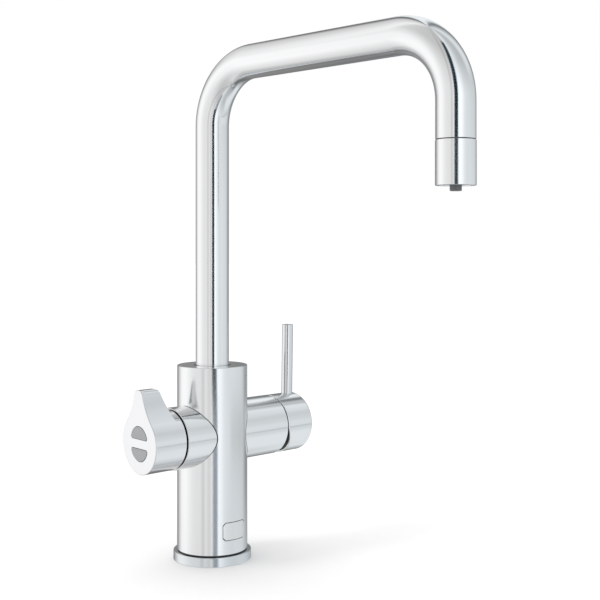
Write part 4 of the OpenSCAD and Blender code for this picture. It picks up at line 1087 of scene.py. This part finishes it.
@dataclass(frozen=True)
class Spout(Assembly):
    """The bent tube, its turned outlet sleeve and the nozzle inside that."""

    radius: float = 12.5
    wall: float = 1.2
    foot: float = 112.0
    bend: float = 45.0
    bend_foot: float = 323.8
    arm: float = 138.0
    end: float = 300.1
    end_edge: float = 0.3
    bend_rows: int = 56
    tube_columns: int = 192
    sleeve: float = 12.65
    sleeve_foot: float = 271.8
    sleeve_top: float = 299.6
    sleeve_bore: float = 11.35
    lip: tuple[float, float] = (10.45, 1.2)
    lip_edge: float = 0.15
    rim: float = 0.3
    nozzle: float = 3.7
    nozzle_bore: float = 2.0
    nozzle_foot: float = 268.4
    nozzle_top: float = 284.08
    nozzle_edges: tuple[float, float] = (0.4, 0.5)

    def build(self) -> None:
        """Makes the three pieces."""
        lip, step = self.lip[0], self.sleeve_foot + self.lip[1]
        sleeve = lathe([
            (lip, self.sleeve_foot, self.lip_edge), (self.sleeve, self.sleeve_foot, self.rim),
            (self.sleeve, self.sleeve_top, self.rim), (self.sleeve_bore, self.sleeve_top, 0.0),
            (self.sleeve_bore, step, 0.0), (lip, step, 0.0),
        ], OUTLET)
        inner, outer = self.nozzle_edges
        nozzle = lathe([
            (self.nozzle_bore, self.nozzle_foot, inner), (self.nozzle, self.nozzle_foot, outer),
            (self.nozzle, self.nozzle_top, HAIR), (self.nozzle_bore, self.nozzle_top, HAIR),
        ], OUTLET, COLUMNS // 2)
        self.show(self.tube(), "bent_tube", "spout_tube", Body.SPOUT, Look.TUBE_STEEL)
        self.show(sleeve, "outlet_ring", "outlet_sleeve", Body.SPOUT, Look.COLUMN_STEEL)
        self.show(nozzle, "inner_nozzle", "boiling_nozzle", Body.SPOUT, Look.NOZZLE_GREY, "grey_plastic")

    def course(self, run: np.ndarray) -> tuple[np.ndarray, np.ndarray]:
        """The tube's middle line and its outer direction at distances from the foot.

        The heading turns by distance over bend radius in each bend. In a bend the place is the bend's
        radius times sine or one less cosine of that turn, and elsewhere it runs on straight.

        Args:
            run: distances along the tube.

        Returns:
            Points of the middle line, and the direction that points out of the bends.
        """
        rise, quarter = self.bend_foot - self.foot, self.bend * math.pi / 2.0
        first = np.clip(run - rise, 0.0, quarter) / self.bend
        level = np.clip(run - rise - quarter, 0.0, self.arm)
        second = np.clip(run - rise - quarter - self.arm, 0.0, quarter) / self.bend
        down = np.clip(run - rise - 2.0 * quarter - self.arm, 0.0, None)
        ahead = self.bend * (1.0 - np.cos(first)) + level + self.bend * np.sin(second)
        height = (self.foot + np.clip(run, 0.0, rise) + self.bend * np.sin(first)
                  - self.bend * (1.0 - np.cos(second)) - down)
        turn = first + second
        place = np.stack([np.zeros_like(run), -ahead, height], -1)
        return place, np.stack([np.zeros_like(run), np.cos(turn), np.sin(turn)], -1)

    def tube(self) -> Shell:
        """The tube: a circle carried along its middle line, out along the outside and back inside."""
        rise, quarter = self.bend_foot - self.foot, self.bend * math.pi / 2.0
        total = rise + 2.0 * quarter + self.arm + self.bend_foot - self.end
        bends = np.linspace(0.0, quarter, self.bend_rows)
        straight = rise + quarter + self.arm * np.array([0.25, 0.5, 0.75])
        runs = np.concatenate([[0.0, rise / 2.0], rise + bends, straight, rise + quarter + self.arm + bends])
        edge_radius, edge_run = np.array(bevel(self.radius, total, -self.end_edge, -self.end_edge)).T
        run = np.concatenate([[0.0], runs, edge_run, [total], runs[::-1]])
        bore = self.radius - self.wall
        radius = np.concatenate([[bore], np.full(len(runs), self.radius), edge_radius,
                                 np.full(len(runs) + 1, bore)])[:, None]
        place, out = self.course(run)
        angle = np.linspace(0.0, 2.0 * math.pi, self.tube_columns + 1)
        away, side = radius * np.cos(angle), radius * np.sin(angle)
        points = place[:, None] + away[..., None] * out[:, None] + side[..., None] * np.array([1.0, 0.0, 0.0])
        shell = Shell()
        shell.grid(points, flow=np.stack([run[:, None] + 0.0 * angle, away, side], -1))
        return shell


@dataclass(frozen=True)
class BoilingLever(Assembly):
    """The collar on the left, the drop-shaped lever and its two press buttons."""

    collar: float = 22.9
    collar_end: float = -41.3
    saddle: float = 27.2
    saddle_edge: float = 0.45
    edge: float = 0.5
    recess: float = 18.0
    recess_floor: float = -30.3
    recess_edge: float = 0.3
    stud_hole: float = 8.04
    rear: float = -42.4
    face: float = -68.3
    face_turn: float = 5.0
    face_tip: float = 1.5
    round_part: float = 22.1
    tip_corner: tuple[float, float] = (1.0, 34.0)
    tip_radius: float = 4.4
    flank: float = 52.0
    drop_steps: tuple[int, int, int] = (88, 46, 22)
    face_edge: float = 0.6
    back_edge: float = 0.4
    back_share: float = 0.6
    back_rows: int = 22
    back_power: float = 1.6
    prism_back: float = -43.4
    fin_angle: float = 17.0
    fin_foot: float = -49.2
    fin_corner: float = 3.1
    face_wall: float = 2.6
    hollow: float = 19.0
    side_shares: tuple[float, ...] = (0.12, 0.25, 0.38, 0.44, 0.5, 0.56, 0.62, 0.68, 0.74, 0.87, 1.0)
    hollow_shares: tuple[float, ...] = (0.1, 0.22, 0.29, 0.36, 0.43, 0.5, 0.57, 0.64, 0.8, 1.0)
    grub_place: float = -53.986
    grub_radius: float = 2.04
    grub_columns: int = 6
    grub_rows: tuple[int, int] = (9, 15)
    button_width: float = 21.4
    button_height: float = 8.9
    button_split: float = 7.1
    button_corner: float = 1.4
    button_gap: float = 0.3
    button_proud: float = 0.4
    button_edge: float = 0.3
    button_rim: tuple[float, float] = (0.8, 0.8)
    button_rows: tuple[int, int, int] = (6, 5, 14)
    button_steps: tuple[int, int, int] = (14, 60, 26)
    border: float = 0.75
    border_slope: float = 0.25
    border_depth: float = 0.12
    crown: float = 0.25
    fit: float = 0.04

    def build(self) -> None:
        """Makes the collar, the lever and the buttons."""
        self.show(self.collar_shell(), "left_collar", "lever_collar", Body.TAP, Look.BARREL_STEEL)
        self.show(self.lever_shell(), "drop_lever", "boiling_lever", Body.LEVER, Look.LEVER_STEEL)
        for sign, name, node, body in ((1.0, "top_button", "upper_button", Body.UPPER_BUTTON),
                                       (-1.0, "bottom_button", "lower_button", Body.LOWER_BUTTON)):
            self.show(self.button_shell(sign), name, node, body, Look.BUTTON_GREY, "button_grey")

    def collar_shell(self) -> Shell:
        """The collar: at the column its end follows the column's gasket, and its far end is hollow."""
        rows = saddle_rows(self.collar, self.stud_hole, self.saddle, self.saddle_edge, -1.0)
        rows += bevel(self.collar, self.collar_end, -self.edge, self.edge)
        rows += bevel(self.recess, self.collar_end, self.recess_edge, self.recess_edge, QUARTER[::-1])
        rows += [(self.recess, self.recess_floor), (self.stud_hole, self.recess_floor), rows[0]]
        return Shell(barrel(rows))

    def plane(self) -> Axis:
        """The face's own directions: outwards, across and up."""
        turn, tip = math.radians(self.face_turn), math.radians(self.face_tip)
        across = np.array([-math.sin(turn), -math.cos(turn), 0.0])
        level = np.array([-math.cos(turn), math.sin(turn), 0.0])
        rise = np.array([0.0, 0.0, 1.0])
        out = math.cos(tip) * level - math.sin(tip) * rise
        up = math.cos(tip) * rise + math.sin(tip) * level
        return Axis((self.face, 0.0, SIDE_HEIGHT), tuple(out), tuple(across), tuple(up))

    def face_at(self, flat: np.ndarray, depth: float = 0.0) -> np.ndarray:
        """Where the face's plane, or one deeper in, stands over a place of the outline's plane."""
        out = np.array(self.plane().along)
        return self.face - (depth + flat[..., 0] * out[1] + flat[..., 1] * out[2]) / out[0]

    def back_at(self, rise: np.ndarray) -> np.ndarray:
        """Where the fin's back stands at a height over the lever's axis.

        It is a line through the fin's foot, then a circle that leaves the line smoothly and ends level
        at the fin's top, and never behind the round part's rear.

        Args:
            rise: height over the axis.

        Returns:
            Place along the axis.
        """
        slant = math.radians(self.fin_angle)
        line = self.fin_foot * math.cos(slant) + self.round_part * math.sin(slant)
        corner_z = self.tip_corner[1] + self.tip_radius - self.fin_corner
        corner_x = (line - self.fin_corner - corner_z * math.sin(slant)) / math.cos(slant)
        straight = (line - rise * math.sin(slant)) / math.cos(slant)
        bent = corner_x + np.sqrt(np.clip(self.fin_corner ** 2 - (rise - corner_z) ** 2, 0.0, None))
        place = np.where(rise > corner_z + self.fin_corner * math.sin(slant), bent, straight)
        return np.minimum(place, self.prism_back)

    def outline(self) -> np.ndarray:
        """The drop: the round part, hollow flanks that leave it smoothly, and the tip's two corners.

        A flank's middle lies where its distance from the axis is the sum of the round part's radius and
        the flank's, and from the tip corner's middle the sum of that corner's radius and the flank's.

        Returns:
            Points from the tip down the back, round the bottom and up the front.
        """
        y, z = self.tip_corner
        far = math.hypot(y, z)
        low, high = self.round_part + self.flank, self.tip_radius + self.flank
        along = (low * low - high * high + far * far) / (2.0 * far)
        across = math.sqrt(low * low - along * along)
        middle = ((along * y + across * z) / far, (along * z - across * y) / far)
        foot = math.degrees(math.atan2(middle[1], middle[0]))
        neck = math.degrees(math.atan2(middle[1] - z, middle[0] - y))
        round_steps, flank_steps, tip_steps = self.drop_steps
        half = np.vstack([
            arc((0.0, 0.0), self.round_part, -90.0, foot, round_steps),
            arc(middle, self.flank, 180.0 + foot, 180.0 + neck, flank_steps)[1:],
            arc((y, z), self.tip_radius, neck, 90.0, tip_steps)[1:],
            [(0.5 * y, z + self.tip_radius), (0.0, z + self.tip_radius)],
        ])
        return np.vstack([half[::-1] * (-1.0, 1.0), half[1:]])

    def lever_rows(self, line: np.ndarray) -> list:
        """The lever's sections: from the face over the side, the fin's back and the rear into the hollow.

        Args:
            line: the drop's outline.

        Returns:
            Outlines in the plane square to the axis, each with its places along the axis.
        """
        reach = np.linalg.norm(line, axis=1)
        unit = line / reach[:, None]
        ring, hollow = unit * self.round_part, unit * self.hollow
        rows: list[tuple[np.ndarray, np.ndarray]] = []
        for out, deep in bevel(0.0, 0.0, -self.face_edge, self.face_edge, QUARTER[::-1]):
            flat = grown(line, out)
            rows.append((flat, self.face_at(flat) + deep))
        small = np.minimum(self.back_edge, self.back_share * (reach - self.round_part))
        front = rows[-1][1]
        back = self.back_at(line[:, 1]) - small
        rows += [(line, front + share * (back - front)) for share in self.side_shares]
        for out, deep in bevel(0.0, 0.0, -small, -small, QUARTER[1:]):
            flat = grown(line, out)
            rows.append((flat, self.back_at(flat[:, 1]) + deep))
        start = rows[-1][0]
        for share in np.linspace(0.0, 1.0, self.back_rows)[1:] ** self.back_power:
            flat = start + share * (ring - start)
            rows.append((flat, self.back_at(flat[:, 1])))
        last = self.back_at(ring[:, 1])
        rows += [(ring, last + share * (self.rear - self.edge - last)) for share in (0.5, 1.0)]
        ends = bevel(self.round_part, self.rear, -self.edge, -self.edge, QUARTER[1:])
        ends += bevel(self.hollow, self.rear, HAIR, -HAIR, QUARTER[::-1])
        rows += [(unit * size, np.full(len(line), place)) for size, place in ends]
        floor = self.face_at(hollow, self.face_wall)
        inner = rows[-1][1]
        return rows + [(hollow, inner + share * (floor - inner)) for share in self.hollow_shares]

    def lever_shell(self) -> Shell:
        """The lever: its sections, the face with the buttons' windows and the hollow's floor filled flat."""
        line = self.outline()
        rows = self.lever_rows(line)
        flat = np.stack([row[0] for row in rows])
        points = SIDEWAYS.place(np.stack([row[1] for row in rows]), flat[..., 0], flat[..., 1])
        bottom = len(line) // 2
        bore = Bore((self.grub_place, 0.0, SIDE_HEIGHT), (0.0, 0.0, -1.0), (1.0, 0.0, 0.0), self.grub_radius,
                    self.round_part, self.hollow)
        shell = Shell()
        last = len(rows) - 3
        span = self.grub_rows[1] - self.grub_rows[0]
        shell.pierced(points, bore, (bottom - self.grub_columns, bottom + self.grub_columns),
                      self.grub_rows, (last, last - span))
        plane = self.plane()
        windows = [sign * self.button_outline(self.button_gap) for sign in (1.0, -1.0)]
        for window in windows:
            rings = [plane.place(deep, *grown(window, out).T) for deep, out in bevel(0.0, 0.0, -HAIR, HAIR)]
            shell.grid(np.stack([*rings, plane.place(-self.face_wall, *window.T)]))
        shell.fill(plane, 0.0, [plane.flat(points[0])] + [grown(window, HAIR) for window in windows])
        shell.fill(plane, -self.face_wall, [plane.flat(points[-1])] + windows)
        return shell

    def button_outline(self, gap: float) -> np.ndarray:
        """A button's outline: a flat side, an arch over it and two round corners between them.

        The arch's radius is half the width squared plus the height squared, over twice the height.

        Args:
            gap: how far the outline is moved outwards.

        Returns:
            Points in the face's plane, the upper button's.
        """
        wide, high = self.button_width / 2.0, self.button_height
        arch = (wide * wide + high * high) / (2.0 * high)
        middle = self.button_split / 2.0 + high - arch
        corner_z = self.button_split / 2.0 + self.button_corner
        corner_y = math.sqrt((arch - self.button_corner) ** 2 - (corner_z - middle) ** 2)
        lean = math.degrees(math.atan2(corner_z - middle, corner_y))
        size = self.button_corner + gap
        bend, over, flat = self.button_steps
        loop = np.vstack([
            arc((corner_y, corner_z), size, -90.0, lean, bend),
            arc((0.0, middle), arch + gap, lean, 180.0 - lean, over)[1:],
            arc((-corner_y, corner_z), size, 180.0 - lean, 270.0, bend)[1:],
            [(across, corner_z - size) for across in np.linspace(-corner_y, corner_y, flat)[1:-1]],
        ])
        return np.vstack([loop, loop[:1]])

    def button_shell(self, sign: float) -> Shell:
        """A button: a rim that holds it in, its side, a rounded edge, a raised border and a crowned middle.

        The middle's height over its border falls with the square of the share from the middle outwards.

        Args:
            sign: 1 for the upper button, -1 for the lower one.

        Returns:
            The button's surface.
        """
        outline = self.button_outline(0.0)
        centre = np.array([0.0, (self.button_split + self.button_height) / 2.0])
        rim_width, rim_height = self.button_rim
        under, slope, over = (np.linspace(0.0, 1.0, count) for count in self.button_rows)
        seat = -self.face_wall - self.fit
        wide = self.button_outline(rim_width)
        rows = [(centre + share * (wide - centre), seat - rim_height) for share in under]
        rows += [(wide, seat), (outline, seat)]
        rows += [(grown(outline, out), place) for out, place in
                 bevel(0.0, self.button_proud, -self.button_edge, -self.button_edge)]
        rows += [(grown(outline, -self.border - self.border_slope * share),
                  self.button_proud - self.border_depth * smooth(share)) for share in slope]
        inner, base = rows[-1]
        rows += [(centre + share * (inner - centre), base + self.crown * (1.0 - share * share))
                 for share in over[::-1][1:]]
        flat = sign * np.stack([row[0] for row in rows])
        along = np.array([row[1] for row in rows])[:, None]
        return Shell(self.plane().place(along, flat[..., 0], flat[..., 1]))


@dataclass(frozen=True)
class Mixer(Assembly):
    """The sleeve on the right, the head that turns and tilts, its pin lever and the plug underneath."""

    radius: float = 22.9
    saddle: float = 26.44
    saddle_edge: float = 0.4
    edge: float = 0.5
    sleeve_bore: float = 20.3
    sleeve_end: float = 58.0
    foot: float = 58.8
    wedge_angle: float = 18.5
    wedge_start: float = 1.0
    head_bore: float = 21.94
    mouth_edge: float = 0.15
    bore_end: float = 66.04
    pivot: float = 52.0
    dome_hollow: float = 17.2
    dome_rows: int = 10
    head_end: float = 85.5
    end_edge: float = 2.5
    end_rows: int = 15
    end_shares: tuple[float, ...] = (0.75, 0.4, 0.0)
    pin: float = 4.4
    pin_place: float = 78.5
    pin_top: float = 171.4
    pin_depth: float = 9.0
    pin_lean: float = 1.0
    grub_place: float = 74.2
    grub_rows: tuple[float, ...] = (70.4, 71.7, 73.0, 74.2, 75.4, 76.7, 78.0)
    grub_columns: int = 7
    plug: float = 2.46
    plug_gap: float = 0.06
    plug_top: float = 22.72
    plug_depth: float = 2.3
    plug_crown: tuple[float, float] = (0.06, 0.08)

    def build(self) -> None:
        """Makes the four pieces."""
        lean = math.radians(self.pin_lean)
        axis = Axis((self.pin_place, 0.0, SIDE_HEIGHT + self.radius), (math.sin(lean), 0.0, math.cos(lean)),
                    (math.cos(lean), 0.0, -math.sin(lean)), (0.0, 1.0, 0.0))
        top = self.pin_top - SIDE_HEIGHT - self.radius
        pin = lathe([(0.0, -self.pin_depth, 0.0), (self.pin, -self.pin_depth, 0.0),
                     (self.pin, top, self.edge), (0.0, top, 0.0)], axis, COLUMNS // 2, closed=False)
        under = Axis((self.grub_place, 0.0, SIDE_HEIGHT), (0.0, 0.0, -1.0), (1.0, 0.0, 0.0), (0.0, -1.0, 0.0))
        low, high = self.plug_top - self.plug_depth, self.plug_top
        plug = lathe([(0.0, low, 0.0), (self.plug, low, 0.0), (self.plug, high, HAIR),
                      (0.5 * self.plug, high + self.plug_crown[0], 0.0),
                      (0.0, high + self.plug_crown[1], 0.0)], under, COLUMNS // 4, closed=False)
        self.show(self.sleeve_shell(), "right_sleeve", "mixer_sleeve", Body.TAP, Look.BARREL_STEEL)
        self.show(self.head_shell(), "tilting_cap", "mixer_head", Body.HEAD, Look.BARREL_STEEL)
        self.show(pin, "pin", "pin_lever", Body.HEAD, Look.PIN_STEEL)
        self.show(plug, "small_plug", "grub_plug", Body.HEAD, Look.GREY_CAP, "plain_steel")

    def sleeve_shell(self) -> Shell:
        """The sleeve: a plain barrel whose end at the column follows the column."""
        rows = saddle_rows(self.radius, self.sleeve_bore, self.saddle, self.saddle_edge, 1.0)
        rows += bevel(self.radius, self.sleeve_end, -self.edge, -self.edge)
        rows += bevel(self.sleeve_bore, self.sleeve_end, HAIR, -HAIR, QUARTER[::-1])
        return Shell(barrel(rows + rows[:1]))

    def head_shell(self) -> Shell:
        """The head: its foot stands back under the axis by the depth below it times the wedge's slope."""
        slope = math.tan(math.radians(self.wedge_angle))
        mouth = math.acos((self.bore_end - self.pivot) / self.dome_hollow)
        rows: list = [(self.dome_hollow * math.sin(turn), self.pivot + self.dome_hollow * math.cos(turn))
                      for turn in np.linspace(0.0, mouth, self.dome_rows)]
        rows.append((self.head_bore, self.bore_end))
        lips = bevel(self.head_bore, self.foot, self.mouth_edge, self.mouth_edge)
        lips += bevel(self.radius, self.foot, -self.edge, self.edge, QUARTER[::-1])
        rows += [(size, place + slope * np.clip(-self.wedge_start - size * np.sin(ROUND), 0.0, None))
                 for size, place in lips]
        low = len(rows)
        rows += [(self.radius, place) for place in self.grub_rows]
        rows += bevel(self.radius, self.head_end, -self.end_edge, -self.end_edge,
                      np.linspace(0.0, math.pi / 2.0, self.end_rows))
        rows += [(share * (self.radius - self.end_edge), self.head_end) for share in self.end_shares]
        bottom = 3 * COLUMNS // 4
        bore = Bore((self.grub_place, 0.0, SIDE_HEIGHT), (0.0, 0.0, -1.0), (1.0, 0.0, 0.0),
                    self.plug + self.plug_gap, self.radius, self.plug_top - self.plug_depth, self.mouth_edge)
        shell = Shell()
        shell.pierced(barrel(rows), bore, (bottom - self.grub_columns, bottom + self.grub_columns),
                      (low, low + len(self.grub_rows) - 1))
        return shell


def main() -> None:
    """Loads the frame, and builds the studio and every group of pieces."""
    logging.basicConfig(level=logging.INFO, format="%(name)s: %(message)s")
    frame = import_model()
    Studio().build()
    wardrobe = Wardrobe()
    wardrobe.dress_frame(frame)
    for group in (Column, Spout, BoilingLever, Mixer):
        group(wardrobe).build()


if __name__ == "__main__":
    main()
